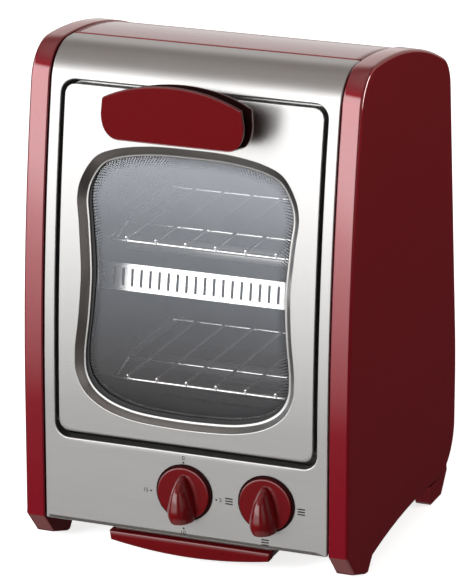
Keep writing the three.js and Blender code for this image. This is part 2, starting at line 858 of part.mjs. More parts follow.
piece('wiring_loom', tube(wireRoute, wireRadius, wireSteps), blackPlastic);

// Cord gland: the bushing in the rear cover that a lead passes through
const glandOut = fit / 2;
const gland = piece('cord_gland', turned([
  [glandBore, 0],
  [glandRadius, 0],
  [glandRadius, glandSpan],
  [glandFlange, glandSpan],
  [glandFlange - sheet, glandSpan + glandFlangeThickness],
  [glandBore, glandSpan + glandFlangeThickness],
  [glandBore, 0],
]), blackPlastic);
gland.position.set(glandX, rearY - steelSetback + glandOut - glandSpan, glandZ);

// Rear feet: pads under the back of each side panel
const footTop = inset(
  [...rearBottomArc, ...archArc.slice(1)].filter(([y]) => y > footFrontY && y < footBackY),
  -fit,
);
const footOutline = [
  ...footTop,
  [footFrontY, footTop[footTop.length - 1][1]],
  [footFrontY, footChamfer],
  [footFrontY + footChamfer, 0],
  [footFlatBackY, 0],
  [footBackY, footTop[0][1] - footChamfer * 3],
];
for (const [word, side] of sides) {
  piece(
    `rear_foot_${word}`,
    alongSide(footOutline, side * footX - footHalfWidth, side * footX + footHalfWidth),
    redGloss,
  );
}

// Rear cover screws, square to the sheet that they hold
function screw(length) {
  return turned([
    [0, -length],
    [screwRadius, -length],
    [screwRadius, 0],
    [screwHeadRadius, 0],
    [screwHeadRadius, screwHeadHeight / 2],
    [screwHeadRadius / 2, screwHeadHeight],
    [0, screwHeadHeight],
  ], roundSides / 2);
}

const rearTilt = Math.atan2(rearLeanIn, rearRun);
for (const [word, side] of sides) {
  for (const [level, z] of [['upper', rearScrewHighZ], ['lower', rearScrewLowZ]]) {
    const tilt = level === 'upper' ? rearTilt : 0;
    const [surfaceY] = level === 'upper' ? rearAt(z) : [rearY];
    const held = piece(`rear_screw_${level}_${word}`, screw(rearScrewLength), plainSteel);
    const out = fit / 2 - steelSetback;
    held.position.set(side * rearScrewX, surfaceY + out * Math.cos(tilt), z + out * Math.sin(tilt));
    held.rotation.x = tilt;
  }
}

// Tray rails under the base plate: a foot, a web and a ledge that the tray rim slides on
const ledgeTopZ = trayRimZ - sheet - fit;
const railWebX = trayHalfWidth + trayRim + fit;
for (const [word, side] of sides) {
  const foot = block(
    ...between(side, railWebX, railWebX + trayRailFoot),
    trayRailFrontY,
    trayRailRearY,
    baseTopZ - 2 * sheet,
    baseTopZ - sheet,
  );
  const web = block(
    ...between(side, railWebX, railWebX + sheet),
    trayRailFrontY,
    trayRailRearY,
    ledgeTopZ - sheet,
    baseTopZ - sheet,
  );
  const ledge = block(
    ...between(side, trayHalfWidth + fit, railWebX + sheet),
    trayRailFrontY,
    trayRailRearY,
    ledgeTopZ - sheet,
    ledgeTopZ,
  );
  piece(`tray_rail_${word}`, foot.add(web).add(ledge), plainSteel);
}

// Crumb tray: an open pan with a side rim, and the curved lip that pulls it out
const trayPan = block(-trayHalfWidth, trayHalfWidth, trayFrontY, trayRearY, trayBottomZ, trayRimZ)
  .add(block(
    -trayHalfWidth - trayRim,
    trayHalfWidth + trayRim,
    trayRailFrontY + 2 * fit,
    trayRearY,
    trayRimZ - sheet,
    trayRimZ,
  ))
  .subtract(block(
    -trayHalfWidth + sheet,
    trayHalfWidth - sheet,
    trayFrontY + sheet,
    trayRearY - sheet,
    trayBottomZ + sheet,
    trayRimZ + overrun,
  ));
piece('tray_pan', trayPan, plainSteel);

const trayLip = new THREE.Shape();
trayLip.moveTo(-trayHandleHalf, trayHandleTopZ);
trayLip.lineTo(trayHandleHalf, trayHandleTopZ);
trayLip.lineTo(trayHandleHalf - sheet, trayHandleEndZ);
trayLip.quadraticCurveTo(0, 2 * trayHandleMidZ - trayHandleEndZ, -trayHandleHalf + sheet, trayHandleEndZ);
const trayLipPoints = trayLip.extractPoints(2 * cornerSteps).shape.map((p) => [p.x, p.y]);
const trayLipBackY = trayFrontY - fit;
piece('tray_handle', throughFront(trayLipPoints, trayLipBackY - trayHandleDepth, trayLipBackY), redGloss);

// Window outline: half of it from the shares, mirrored, then smoothed
const windowHalf = windowAcrossShares.map((share, i) => [
  share * windowHalfWidth,
  windowCentreZ + windowUpShares[i] * windowHalfHeight,
]);
const windowMirror = windowHalf.slice(1).map(([x, z]) => [-x, z]).reverse();
const windowCurve = new THREE.CatmullRomCurve3(
  [...windowHalf, ...windowMirror].map(([x, z]) => new THREE.Vector3(x, z, 0)),
  true,
);
const windowOutline = windowCurve.getSpacedPoints(windowSteps).slice(0, windowSteps).map((p) => [p.x, p.y]);

function windowInset(distance) {
  return inset(windowOutline, distance, true);
}

// A ring that follows the window outline and the leaning front
function windowRing(outer, inner, front, back) {
  return faceBand(front, back, doorHalfWidth)
    .intersect(throughFront(windowInset(outer), farFront, farBack))
    .subtract(throughFront(windowInset(inner), farFront, farBack));
}

// The space in front of the slope that leads in to the window: it narrows backwards and follows the leaning front
function windowRecess(wider) {
  const reach = 2;
  const cutter = new THREE.ExtrudeGeometry(shapeOf(windowInset(reach * recessWidth - wider)), {
    depth: handleReach,
    bevelThickness: reach * recessDepth,
    bevelSize: reach * recessWidth,
    bevelSegments: 1,
  });
  cutter.applyMatrix4(frontPlane);
  return solid(cutter).warp((point) => {
    point[1] += frontAt(point[2]) + steelSetback;
  });
}

// Door skin: a steel pan that follows the leaning front, sloping in to the lip of the shaped window hole
function doorRect(margin) {
  return roundedRect(doorHalfWidth - margin, doorBottomZ + margin, doorTopZ - margin, doorCorner - margin);
}

const doorBack = steelSetback + doorDepth;
const skinBack = steelSetback + sheet;
const handleTilt = Math.asin((handleZ - leanStartZ) / leanRadius);
const handleFrame = new THREE.Group();
handleFrame.position.set(
  0,
  frontAt(handleZ) + steelSetback * Math.cos(handleTilt),
  handleZ - steelSetback * Math.sin(handleTilt),
);
handleFrame.rotation.x = -handleTilt;
handleFrame.updateMatrixWorld(true);
oven.add(handleFrame);

function placedOnDoor(body) {
  const geometry = geometryOf(body);
  geometry.applyMatrix4(handleFrame.matrixWorld);
  return solid(geometry);
}

const screwPlaces = sides.map(([word, side]) => [word, (side * handleScrewSpacing) / 2]);
const lipFront = steelSetback + recessDepth;
const lipBack = lipFront + sheet;
const recess = windowRecess(0);
const slope = windowRecess(recessSheet)
  .intersect(faceBand(steelSetback, lipBack, doorHalfWidth))
  .subtract(recess);
let doorSkin = faceBand(steelSetback, doorBack, doorHalfWidth + sheet)
  .intersect(throughFront(doorRect(0), farFront, farBack))
  .subtract(faceBand(skinBack, doorBack + overrun, doorHalfWidth + sheet)
    .intersect(throughFront(doorRect(sheet), farFront, farBack)))
  .subtract(recess)
  .add(slope)
  .add(windowRing(recessWidth, lipInset + overrun, lipFront, lipBack))
  .subtract(throughFront(windowInset(lipInset), farFront, farBack))
  .subtract(hingeBore);
for (const [, x] of screwPlaces) {
  doorSkin = doorSkin.subtract(placedOnDoor(
    rod(screwRadius + fit, [x, -overrun, stemUp], [x, overrun, stemUp], roundSides / 2),
  ));
}
piece('door_skin', doorSkin, brushedSteel);

// Window gasket, glass and the inner liner whose collar holds them
const gasketFront = lipBack + fit;
const gasketBack = gasketFront + gasketThickness;
const glassFront = gasketBack + fit;
const glassBack = glassFront + glassThickness;
const collarFront = glassBack + fit;
const linerFront = doorBack - sheet;

piece('window_gasket', windowRing(lipInset - gasketWidth, lipInset, gasketFront, gasketBack), rubber);
piece(
  'window_glass',
  faceBand(glassFront, glassBack, doorHalfWidth)
    .intersect(throughFront(windowInset(glassInset), farFront, farBack)),
  greyGlass,
);
piece(
  'door_liner',
  faceBand(linerFront, doorBack, doorHalfWidth)
    .intersect(throughFront(doorRect(sheet + fit), farFront, farBack))
    .subtract(throughFront(windowInset(lipInset), farFront, farBack))
    .add(windowRing(lipInset - collarWidth, lipInset, collarFront, linerFront + sheet / 2)),
  plainSteel,
);

// Handle: a flared front plate and a rear plate joined by a floor, on a stem that two screws hold to the skin
const handleShape = new THREE.Shape();
const handleShoulder = handleTipUp - handleDrop * handleSideShare;
const handleRound = handleDrop * handleRoundShare;
handleShape.moveTo(handleHalfWidth, handleTipUp);
handleShape.lineTo(handleHalfWidth, handleShoulder);
handleShape.quadraticCurveTo(handleHalfWidth, -handleDrop, handleHalfWidth - handleRound, -handleDrop);
handleShape.lineTo(-handleHalfWidth + handleRound, -handleDrop);
handleShape.quadraticCurveTo(-handleHalfWidth, -handleDrop, -handleHalfWidth, handleShoulder);
handleShape.lineTo(-handleHalfWidth, handleTipUp);
handleShape.quadraticCurveTo(-handleHalfWidth * handleArchShare, handleRise, 0, handleRise);
handleShape.quadraticCurveTo(handleHalfWidth * handleArchShare, handleRise, handleHalfWidth, handleTipUp);
const handleOutline = handleShape.extractPoints(cornerSteps).shape.map((p) => [p.x, p.y]);

const handleFrontY = -handleReach;
const troughBackY = handleFrontY + handleTrough;
const handleBackY = troughBackY + handlePlate;
const frontPlate = throughFront(handleOutline, handleFrontY, handleFrontY + handlePlate)
  .translate([0, handleReach, -handleTipUp])
  .rotate([handleFlareDegrees, 0, 0])
  .translate([0, -handleReach, handleTipUp]);
const rearPlate = throughFront(handleOutline, troughBackY, handleBackY);
const trough = throughFront(handleOutline, -handleFloorReach, troughBackY + handlePlate / 2)
  .intersect(block(
    -caseWidth,
    caseWidth,
    handleFrontY,
    handleBackY,
    -handleDrop,
    -handleDrop + handleFloor,
  ));
const stem = block(
  -stemWidth / 2,
  stemWidth / 2,
  handleBackY - handlePlate / 2,
  -2 * fit,
  stemUp - stemHeight / 2,
  stemUp + stemHeight / 2,
);
let handle = joined([frontPlate, rearPlate, trough, stem]);
for (const [, x] of screwPlaces) {
  handle = handle.subtract(rod(
    screwRadius + fit,
    [x, -screwLength - fit, stemUp],
    [x, overrun, stemUp],
    roundSides / 2,
  ));
}
piece('door_handle', handle, redGloss, handleFrame);

for (const [word, x] of screwPlaces) {
  const held = piece(`handle_screw_${word}`, screw(screwLength), plainSteel, handleFrame);
  held.position.set(x, sheet + fit, stemUp);
}

// Hinge pins on the door and the brackets on the frame that they turn in
const pinHeadX = doorHalfWidth - sheet - hingeHeadBack - hingeHeadLength;
const earX = openingHalfWidth + sheet + 2 * fit;
const frameFrontY = frontY + frameInset - fit;
for (const [word, side] of sides) {
  const head = rod(
    hingeHeadRadius,
    [side * pinHeadX, hingeY, hingeZ],
    [side * (pinHeadX + hingeHeadLength), hingeY, hingeZ],
  );
  const pin = rod(
    hingePinRadius,
    [side * pinHeadX, hingeY, hingeZ],
    [side * (pinHeadX + hingePinLength), hingeY, hingeZ],
  );
  piece(`hinge_pin_${word}`, head.add(pin), plainSteel);
  const ear = block(
    ...between(side, earX, earX + 2 * sheet),
    hingeY - hingeEarHalf,
    frameFrontY,
    hingeZ - 2 * hingeEarHalf,
    hingeZ + 2 * hingeEarHalf,
  );
  const earFoot = block(
    ...between(side, earX, steelHalfWidth - fit),
    frameFrontY - 2 * sheet,
    frameFrontY,
    hingeZ - 2 * hingeEarHalf,
    hingeZ + 2 * hingeEarHalf,
  );
  piece(`hinge_bracket_${word}`, ear.add(earFoot).subtract(hingeBore), plainSteel);
}

// Knobs: a disc with a swelling half-cone grip, pushed on the shaft of its control
const knobBack = -knobBackGap;
const knobFront = knobBack - knobDisc;
const towardsFront = new THREE.Matrix4().makeRotationX(Math.PI);
const towardsTop = new THREE.Matrix4().makeRotationX(Math.PI / 2);

function knobBody() {
  const disc = new THREE.LatheGeometry([
    [0, -knobBack],
    [knobRadius - knobEdge, -knobBack],
    [knobRadius, -knobBack + knobEdge],
    [knobRadius - knobEdge / 2, -knobFront - knobEdge],
    [knobRadius - 2 * knobEdge, -knobFront],
    [0, -knobFront],
  ].map(([r, h]) => new THREE.Vector2(r, h)), 2 * roundSides);
  disc.applyMatrix4(towardsFront);
  const finProfile = finWidthShares.map((share, i) => (
    new THREE.Vector2(share * finHalfWidth, finAlongShares[i] * knobRadius)
  ));
  const fin = new THREE.LatheGeometry([...finProfile, new THREE.Vector2(0, finTipUp)], roundSides);
  fin.applyMatrix4(towardsTop);
  fin.scale(1, finHeight / finHalfWidth, 1);
  fin.translate(0, knobFront + sheet, 0);
  const rimCut = rod(
    knobRadius - knobEdge / 2,
    [0, knobFront - finHeight, 0],
    [0, knobBack - sheet, 0],
    2 * roundSides,
  );
  const bore = rod(shaftRadius + fit, [0, overrun, 0], [0, knobBack - shaftIntoKnob - fit, 0]);
  return solid(disc).add(solid(fin).intersect(rimCut)).subtract(bore);
}

for (const [word, x] of [['timer', timerX], ['selector', selectorX]]) {
  const axle = new THREE.Group();
  axle.position.set(x, frontY + steelSetback, knobZ);
  axle.updateMatrixWorld(true);
  oven.add(axle);
  piece(`${word}_knob`, knobBody(), redGloss, axle);
  const shaftEndY = unitFrontY + shaftIntoUnit - axle.position.y;
  const shaft = rod(shaftRadius, [0, knobBack - shaftIntoKnob, 0], [0, shaftEndY, 0]);
  piece(`${word}_shaft`, shaft, plainSteel, axle);
}

// Wire racks: a bent frame, straight cross wires and long wires whose ends turn down at the front
function wireRack(rackZ) {
  const corner = (x, y) => new THREE.Vector3(x, y, rackZ);
  const stops = [
    corner(-rackFrontHalf, rackFrontY),
    corner(-rackShoulderHalf, rackShoulderY),
    corner(-rackRearHalf, rackRearY),
    corner(rackRearHalf, rackRearY),
    corner(rackShoulderHalf, rackShoulderY),
    corner(rackFrontHalf, rackFrontY),
  ];
  const parts = [];
  for (let i = 0; i + 1 < stops.length; i += 1) {
    const elbow = new THREE.SphereGeometry(rackFrameRadius, 2 * wireSides, wireSides);
    elbow.translate(...stops[i].toArray());
    parts.push(solid(elbow));
    parts.push(rod(rackFrameRadius, stops[i].toArray(), stops[i + 1].toArray(), 2 * wireSides));
  }
  parts.push(rod(
    rackFrameRadius,
    [-rackFrontHalf - rackFrameRadius, rackFrontY, rackZ],
    [rackFrontHalf + rackFrameRadius, rackFrontY, rackZ],
    2 * wireSides,
  ));
  const crossShare = (rackCrossY - rackFrontY) / (rackShoulderY - rackFrontY);
  const crossHalf = rackFrontHalf + (rackShoulderHalf - rackFrontHalf) * crossShare;
  parts.push(rod(rackWireRadius, [-crossHalf, rackCrossY, rackZ], [crossHalf, rackCrossY, rackZ], wireSides));
  const wireUp = rackZ + rackFrameRadius + rackWireRadius - fit;
  for (let i = 0; i < rackWires; i += 1) {
    const x = (i - (rackWires - 1) / 2) * rackWirePitch;
    const bend = new THREE.QuadraticBezierCurve3(
      new THREE.Vector3(x, rackFrontY - rackWireRadius, wireUp - rackTipDrop),
      new THREE.Vector3(x, rackFrontY, wireUp),
      new THREE.Vector3(x, rackFrontY + rackBend, wireUp),
    );
    parts.push(tube(bend, rackWireRadius, bendSteps));
    parts.push(rod(
      rackWireRadius,
      [x, rackFrontY + rackBend - fit, wireUp],
      [x, rackRearY + rackFrameRadius, wireUp],
      wireSides,
    ));
  }
  return joined(parts);
}

piece('upper_rack', wireRack(upperRackZ), chromeWire);
piece('lower_rack', wireRack(lowerRackZ), chromeWire);

export default oven;
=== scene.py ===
"""Upright two-deck electric oven, dressed over its CAD frame.

The scene is in metres; sizes below are in millimetres. +X is right seen from the front, +Y back, +Z up.
"""

import math

import bmesh
import bpy
from mathutils import Matrix, Vector


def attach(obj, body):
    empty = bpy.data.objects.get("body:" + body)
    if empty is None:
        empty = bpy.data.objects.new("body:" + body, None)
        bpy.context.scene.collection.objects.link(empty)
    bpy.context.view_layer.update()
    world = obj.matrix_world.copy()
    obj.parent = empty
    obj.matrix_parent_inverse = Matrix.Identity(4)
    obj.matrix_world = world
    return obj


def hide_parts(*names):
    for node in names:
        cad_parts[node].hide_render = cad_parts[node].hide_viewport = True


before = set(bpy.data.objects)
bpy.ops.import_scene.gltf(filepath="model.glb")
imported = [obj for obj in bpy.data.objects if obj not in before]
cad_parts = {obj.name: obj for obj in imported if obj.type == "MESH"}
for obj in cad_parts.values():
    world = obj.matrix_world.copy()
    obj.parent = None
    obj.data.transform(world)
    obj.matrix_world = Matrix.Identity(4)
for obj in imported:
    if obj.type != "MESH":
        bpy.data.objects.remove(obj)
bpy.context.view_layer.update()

# Camera
# A long lens, right of the oven and above it, at the photograph's angle and distance.
camera_place = Vector((0.9344, -2.39375, 1.0067))
camera_turn = math.radians(21.4)
camera_rise = math.radians(18.05)
camera_back = Vector((
    math.sin(camera_turn) * math.cos(camera_rise),
    -math.cos(camera_turn) * math.cos(camera_rise),
    math.sin(camera_rise),
))
camera_lens = bpy.data.cameras.new("camera")
camera_lens.sensor_fit = "AUTO"
camera_lens.sensor_width = 36
camera_lens.lens = 237.9
camera = bpy.data.objects.new("camera", camera_lens)
camera.location = camera_place
camera.rotation_euler = (-camera_back).to_track_quat("-Z", "Y").to_euler()
bpy.context.collection.objects.link(camera)
bpy.context.scene.camera = camera
bpy.context.scene.view_settings.view_transform = "Standard"

# Side panels
# Two moulded side panels, dark red metallic plastic under a clear gloss lacquer, with a rounded outer edge.
# Each stands on its own bottom front corner and clips over the flanks of the steel sheets.
millimetre = 0.001
case_half, panel_inner = 119, 105
front_y, rear_y, case_top = -106.6, 123.4, 359
lean_from, lean_radius, front_round = 110, 1330, 30
apex_y, top_radius, rear_round = front_y + 55, 330, 28
rear_knee_z, rear_shoulder_drop, rear_lean = 100, 61, 21.5


def arc_points(centre, radius, start, end, step=2.0):
    """Points (y, z, normal y, normal z) along an arc, the short way round."""
    first = math.atan2(start[1] - centre[1], start[0] - centre[0])
    sweep = math.atan2(end[1] - centre[1], end[0] - centre[0]) - first
    sweep = (sweep + math.pi) % (2 * math.pi) - math.pi
    count = max(6, int(abs(sweep) * radius / step))
    points = []
    for i in range(count + 1):
        ny = math.cos(first + sweep * i / count)
        nz = math.sin(first + sweep * i / count)
        points.append((centre[0] + radius * ny, centre[1] + radius * nz, ny, nz))
    return points


def bend_points(start, through, end, count=24):
    """Points along a quadratic bend, with normals to its left-hand side."""
    points = []
    for i in range(count + 1):
        t = i / count
        y = (1 - t) ** 2 * start[0] + 2 * t * (1 - t) * through[0] + t * t * end[0]
        z = (1 - t) ** 2 * start[1] + 2 * t * (1 - t) * through[1] + t * t * end[1]
        dy = 2 * (1 - t) * (through[0] - start[0]) + 2 * t * (end[0] - through[0])
        dz = 2 * (1 - t) * (through[1] - start[1]) + 2 * t * (end[1] - through[1])
        length = math.hypot(dy, dz)
        points.append((y, z, -dz / length, dy / length))
    return points


def straight(start, end, step=3.0):
    """Points along a straight line, with normals to its left-hand side."""
    length = math.dist(start, end)
    count = max(1, int(length / step))
    ny, nz = -(end[1] - start[1]) / length, (end[0] - start[0]) / length
    return [
        (start[0] + (end[0] - start[0]) * i / count, start[1] + (end[1] - start[1]) * i / count, ny, nz)
        for i in range(count + 1)
    ]


def towards(centre, point, radius):
    """Where the ray from a circle's centre through a point meets the circle."""
    length = math.dist(point, centre)
    return (
        centre[0] + (point[0] - centre[0]) * radius / length,
        centre[1] + (point[1] - centre[1]) * radius / length,
    )


# The front round touches the leaning face and the domed top from inside
lean_centre = (front_y + lean_radius, lean_from)
top_centre = (apex_y, case_top - top_radius)
lean_reach, top_reach = lean_radius - front_round, top_radius - front_round
span = math.dist(lean_centre, top_centre)
along = (top_reach ** 2 - lean_reach ** 2 + span ** 2) / (2 * span)
off = math.sqrt(top_reach ** 2 - along ** 2)
span_y, span_z = (lean_centre[0] - top_centre[0]) / span, (lean_centre[1] - top_centre[1]) / span
front_round_centre = (
    top_centre[0] + span_y * along - span_z * off,
    top_centre[1] + span_z * along + span_y * off,
)
lean_end = towards(lean_centre, front_round_centre, lean_radius)
top_start = towards(top_centre, front_round_centre, top_radius)

# The rear round touches the domed top and the straight rear slope from inside
rear_run = case_top - rear_shoulder_drop - rear_knee_z
rear_up = Vector((-rear_lean, rear_run)).normalized()
rear_in = Vector((-rear_up.y, rear_up.x))
rear_from = Vector((rear_y, rear_knee_z)) + rear_in * rear_round - Vector(top_centre)
rear_along = rear_from.dot(rear_up)
rear_reach = top_radius - rear_round
rear_climb = -rear_along + math.sqrt(rear_along ** 2 - rear_from.length_squared + rear_reach ** 2)
rear_round_centre = tuple(Vector(top_centre) + rear_from + rear_up * rear_climb)
top_end = towards(top_centre, rear_round_centre, top_radius)
rear_top = (
    rear_round_centre[0] - rear_in.x * rear_round,
    rear_round_centre[1] - rear_in.y * rear_round,
)


def rear_at(z):
    return (rear_y - rear_lean / rear_run * (z - rear_knee_z), z)


def front_at(z):
    return lean_centre[0] - math.sqrt(lean_radius ** 2 - max(0.0, z - lean_from) ** 2)


def without_doubles(points):
    kept = []
    for point in points:
        if not kept or math.dist(point[:2], kept[-1][:2]) > 0.05:
            kept.append(point)
    return kept


# The outline seen from the side starts at the sole of the front foot and goes up the front
sole_front, sole_back, heel = (front_y + 40, 0), (front_y + 44, 0), (front_y + 52, 8.7)
toe, chamfer_top, face_low = (front_y + 16.3, 7.9), (front_y, 25.5), (front_y, 40)
lean_start = (front_y, lean_from)
knee_top, knee_corner, knee_low = rear_at(122), (rear_y, rear_knee_z), (rear_y, 78)
rear_bend = 35
rear_bend_start, rear_bend_end = (rear_y, 49.5), (rear_y - rear_bend, 14.5)
rear_bend_centre = (rear_y - rear_bend, 49.5)
underside_arch = (rear_y - 105.1, 21.4)
round_step = 1.2
front_foot = straight(sole_front, toe) + straight(toe, chamfer_top) + straight(chamfer_top, face_low)
flat_face = straight(face_low, lean_start)
lean_face = arc_points(lean_centre, lean_radius, lean_start, lean_end)[1:]
front_top = arc_points(front_round_centre, front_round, lean_end, top_start, round_step)
top_run = arc_points(top_centre, top_radius, top_start, top_end)
rear_corner = arc_points(rear_round_centre, rear_round, top_end, rear_top, round_step)
rear_knee = bend_points(knee_top, knee_corner, knee_low)
rear_foot_bend = arc_points(rear_bend_centre, rear_bend, rear_bend_start, rear_bend_end)
underside = bend_points(rear_bend_end, underside_arch, heel)
foot_back = straight(heel, sole_back) + straight(sole_back, sole_front)
case_line = without_doubles(
    front_foot + flat_face[1:] + lean_face + front_top + top_run + rear_corner + straight(rear_top, knee_top)
    + rear_knee + straight(knee_low, rear_bend_start) + rear_foot_bend + underside + foot_back[:-1]
)


def loft(loops, cap_first=True, cap_last=True):
    """Vertices and faces of a skin over closed loops of (x, y, z) that are all of one length."""
    count = len(loops[0])
    vertices = [point for loop in loops for point in loop]
    faces = []
    for i in range(len(loops) - 1):
        for j in range(count):
            k = (j + 1) % count
            faces.append((i * count + j, i * count + k, (i + 1) * count + k, (i + 1) * count + j))
    if cap_first:
        faces.append(tuple(range(count)))
    if cap_last:
        faces.append(tuple(range((len(loops) - 1) * count, len(loops) * count)))
    return vertices, faces


def make_piece(name, parts, material, body, stands_for=(), *, sharp, turn=None):
    """One mesh object from parts in millimetres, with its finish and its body."""
    mesh = bpy.data.meshes.new(name)
    vertices, faces = [], []
    for part_vertices, part_faces in parts:
        start = len(vertices)
        vertices.extend(part_vertices)
        faces.extend(tuple(start + v for v in face) for face in part_faces)
    place = turn or Matrix.Identity(4)
    mesh.from_pydata([place @ Vector(v) * millimetre for v in vertices], [], faces)
    work = bmesh.new()
    work.from_mesh(mesh)
    bmesh.ops.remove_doubles(work, verts=work.verts, dist=1e-7)
    bmesh.ops.recalc_face_normals(work, faces=work.faces)
    work.to_mesh(mesh)
    work.free()
    mesh.shade_smooth()
    mesh.set_sharp_from_angle(angle=math.radians(sharp))
    mesh.materials.append(material)
    piece = bpy.data.objects.new(name, mesh)
    bpy.context.collection.objects.link(piece)
    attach(piece, body)
    if stands_for:
        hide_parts(*stands_for)
    return piece


def new_material(name, colour, roughness, metallic=0.0, **sockets):
    """A Principled material; sockets are given with underscores for spaces."""
    material = bpy.data.materials.new(name)
    material.use_nodes = True
    shader = material.node_tree.nodes["Principled BSDF"]
    shader.inputs["Base Color"].default_value = (*colour, 1)
    shader.inputs["Roughness"].default_value = roughness
    shader.inputs["Metallic"].default_value = metallic
    for key, value in sockets.items():
        shader.inputs[key.replace("_", " ")].default_value = value
    return material


def node(owner, kind, **values):
    """A new node of a material or world; a value goes to the input of its name, or else to the setting."""
    made = owner.node_tree.nodes.new(kind)
    for key, value in values.items():
        if key in made.inputs:
            made.inputs[key].default_value = value
        else:
            setattr(made, key, value)
    return made


grain_low, grain_high = 0.3, 0.7


def add_grain(material, scale, colours, roughness=None, bump=0.0, height=0.0, stretch=(1, 1, 1)):
    """Fine grain in object space that colours and, where given, roughness and bump vary with.

    scale is in grains a metre, stretch multiplies it along each axis, and height is the bump's in metres.
    """
    tree = material.node_tree
    shader = tree.nodes["Principled BSDF"]
    place = node(material, "ShaderNodeTexCoord")
    spread = node(material, "ShaderNodeMapping", Scale=stretch)
    grain = node(material, "ShaderNodeTexNoise", Scale=scale, Detail=4.0, Roughness=0.6)
    tree.links.new(place.outputs["Object"], spread.inputs["Vector"])
    tree.links.new(spread.outputs["Vector"], grain.inputs["Vector"])
    if bump:
        lift = node(material, "ShaderNodeBump", Strength=bump, Distance=height)
        tree.links.new(grain.outputs["Fac"], lift.inputs["Height"])
        tree.links.new(lift.outputs["Normal"], shader.inputs["Normal"])
    tint = node(material, "ShaderNodeValToRGB")
    dark_stop, light_stop = tint.color_ramp.elements
    dark_stop.position, light_stop.position = grain_low, grain_high
    dark_stop.color, light_stop.color = (*colours[0], 1), (*colours[1], 1)
    tree.links.new(grain.outputs["Fac"], tint.inputs["Fac"])
    tree.links.new(tint.outputs["Color"], shader.inputs["Base Color"])
    if roughness:
        smooth, rough = roughness
        gloss = node(material, "ShaderNodeMapRange", **{
            "From Min": grain_low, "From Max": grain_high, "To Min": smooth, "To Max": rough,
        })
        tree.links.new(grain.outputs["Fac"], gloss.inputs["Value"])
        tree.links.new(gloss.outputs["Result"], shader.inputs["Roughness"])


# Metal flakes under clear lacquer: colour changes from flake to flake, the lacquer stays smooth
red_moulding = new_material(
    "red_moulding", (0.20, 0.002, 0.010), 0.42, 0.6, Specular_Tint=(1.0, 0.02, 0.05, 1),
    Coat_Weight=1.0, Coat_Roughness=0.04, Coat_IOR=1.95, Specular_IOR_Level=0.1,
)
add_grain(red_moulding, 2600, ((0.165, 0.0015, 0.008), (0.235, 0.003, 0.013)), (0.38, 0.46))

# The panel's section, as (how far out from the inner edge, how far in from the outline)
edge_round = 2.4
inner_edge = [(0.0, 2.1), (0.0, 1.1), (0.1, 0.62), (0.32, 0.3), (0.65, 0.09), (1.1, 0.0)]
panel_profile = [(panel_inner + out, inset) for out, inset in inner_edge]
for degrees in range(0, 91, 9):
    turn = math.radians(degrees)
    out, fall = edge_round * math.sin(turn), edge_round * (1 - math.cos(turn))
    panel_profile.append((case_half - edge_round + out, fall))
panel_profile.append((case_half, edge_round + 1.0))
for side, word in ((-1, "left"), (1, "right")):
    panel_loops = [
        [(side * x, y - ny * inset, z - nz * inset) for y, z, ny, nz in case_line]
        for x, inset in panel_profile
    ]
    make_piece(f"panel_{word}", [loft(panel_loops)], red_moulding, "cabinet",
               (f"side_panel_{word}",), sharp=40)

# Front fascia
# One stainless steel sheet, brushed from side to side, rolled over the top front corner, folded back below.
# The door opening is punched and its edge is folded inwards; the sheet hooks under the side panels.
steel_half, steel_setback, edge_roll, steel_gauge = 104.1, 0.8, 1.2, 0.8
fascia_low, fold_round, fold_back = 25.0, 0.35, 12
seam_y = top_start[0] + 10.1


def top_at(y):
    return top_centre[1] + math.sqrt(top_radius ** 2 - (y - apex_y) ** 2)


def line_length(points):
    """The length of a line up to each of its points."""
    lengths = [0.0]
    for a, b in zip(points, points[1:]):
        lengths.append(lengths[-1] + math.dist(a[:2], b[:2]))
    return lengths


before_seam = (seam_y - 0.2, top_at(seam_y - 0.2))
seam_end = arc_points(top_centre, top_radius, before_seam, (seam_y, top_at(seam_y)))[-1]
face_line = without_doubles(
    straight((front_y, fascia_low + fold_round), lean_start, 2.0) + lean_face + front_top
    + [point for point in top_run if point[0] < seam_y] + [seam_end]
)
face_lengths = line_length(face_line)
face_heights = [point[1] for point in face_line]
face_end = face_lengths[-1]


def find_span(values, wanted):
    """The index of the span of rising values that holds a wanted one."""
    low, high = 0, len(values) - 1
    while high - low > 1:
        middle = (low + high) // 2
        if values[middle] <= wanted:
            low = middle
        else:
            high = middle
    return low


def run_at(z):
    """The run along the face line at a height."""
    low = find_span(face_heights, z)
    t = (z - face_heights[low]) / (face_heights[low + 1] - face_heights[low])
    return face_lengths[low] + (face_lengths[low + 1] - face_lengths[low]) * t


def face_point(x, run, depth):
    """The point (x, y, z) at a run along the face line, moved in by depth."""
    run = min(max(run, 0.0), face_end)
    low = find_span(face_lengths, run)
    t = (run - face_lengths[low]) / (face_lengths[low + 1] - face_lengths[low])
    y, z, ny, nz = (a + (b - a) * t for a, b in zip(face_line[low], face_line[low + 1]))
    length = math.hypot(ny, nz)
    return (x, y - ny / length * depth, z - nz / length * depth)


def between(a, b, share):
    return (a[0] + (b[0] - a[0]) * share, a[1] + (b[1] - a[1]) * share)


def rounding():
    """(1 - sin, 1 - cos) at steps of a quarter turn, to round an edge with."""
    turns = [math.radians(degrees) for degrees in range(0, 91, 15)]
    return [(1 - math.sin(turn), 1 - math.cos(turn)) for turn in turns]


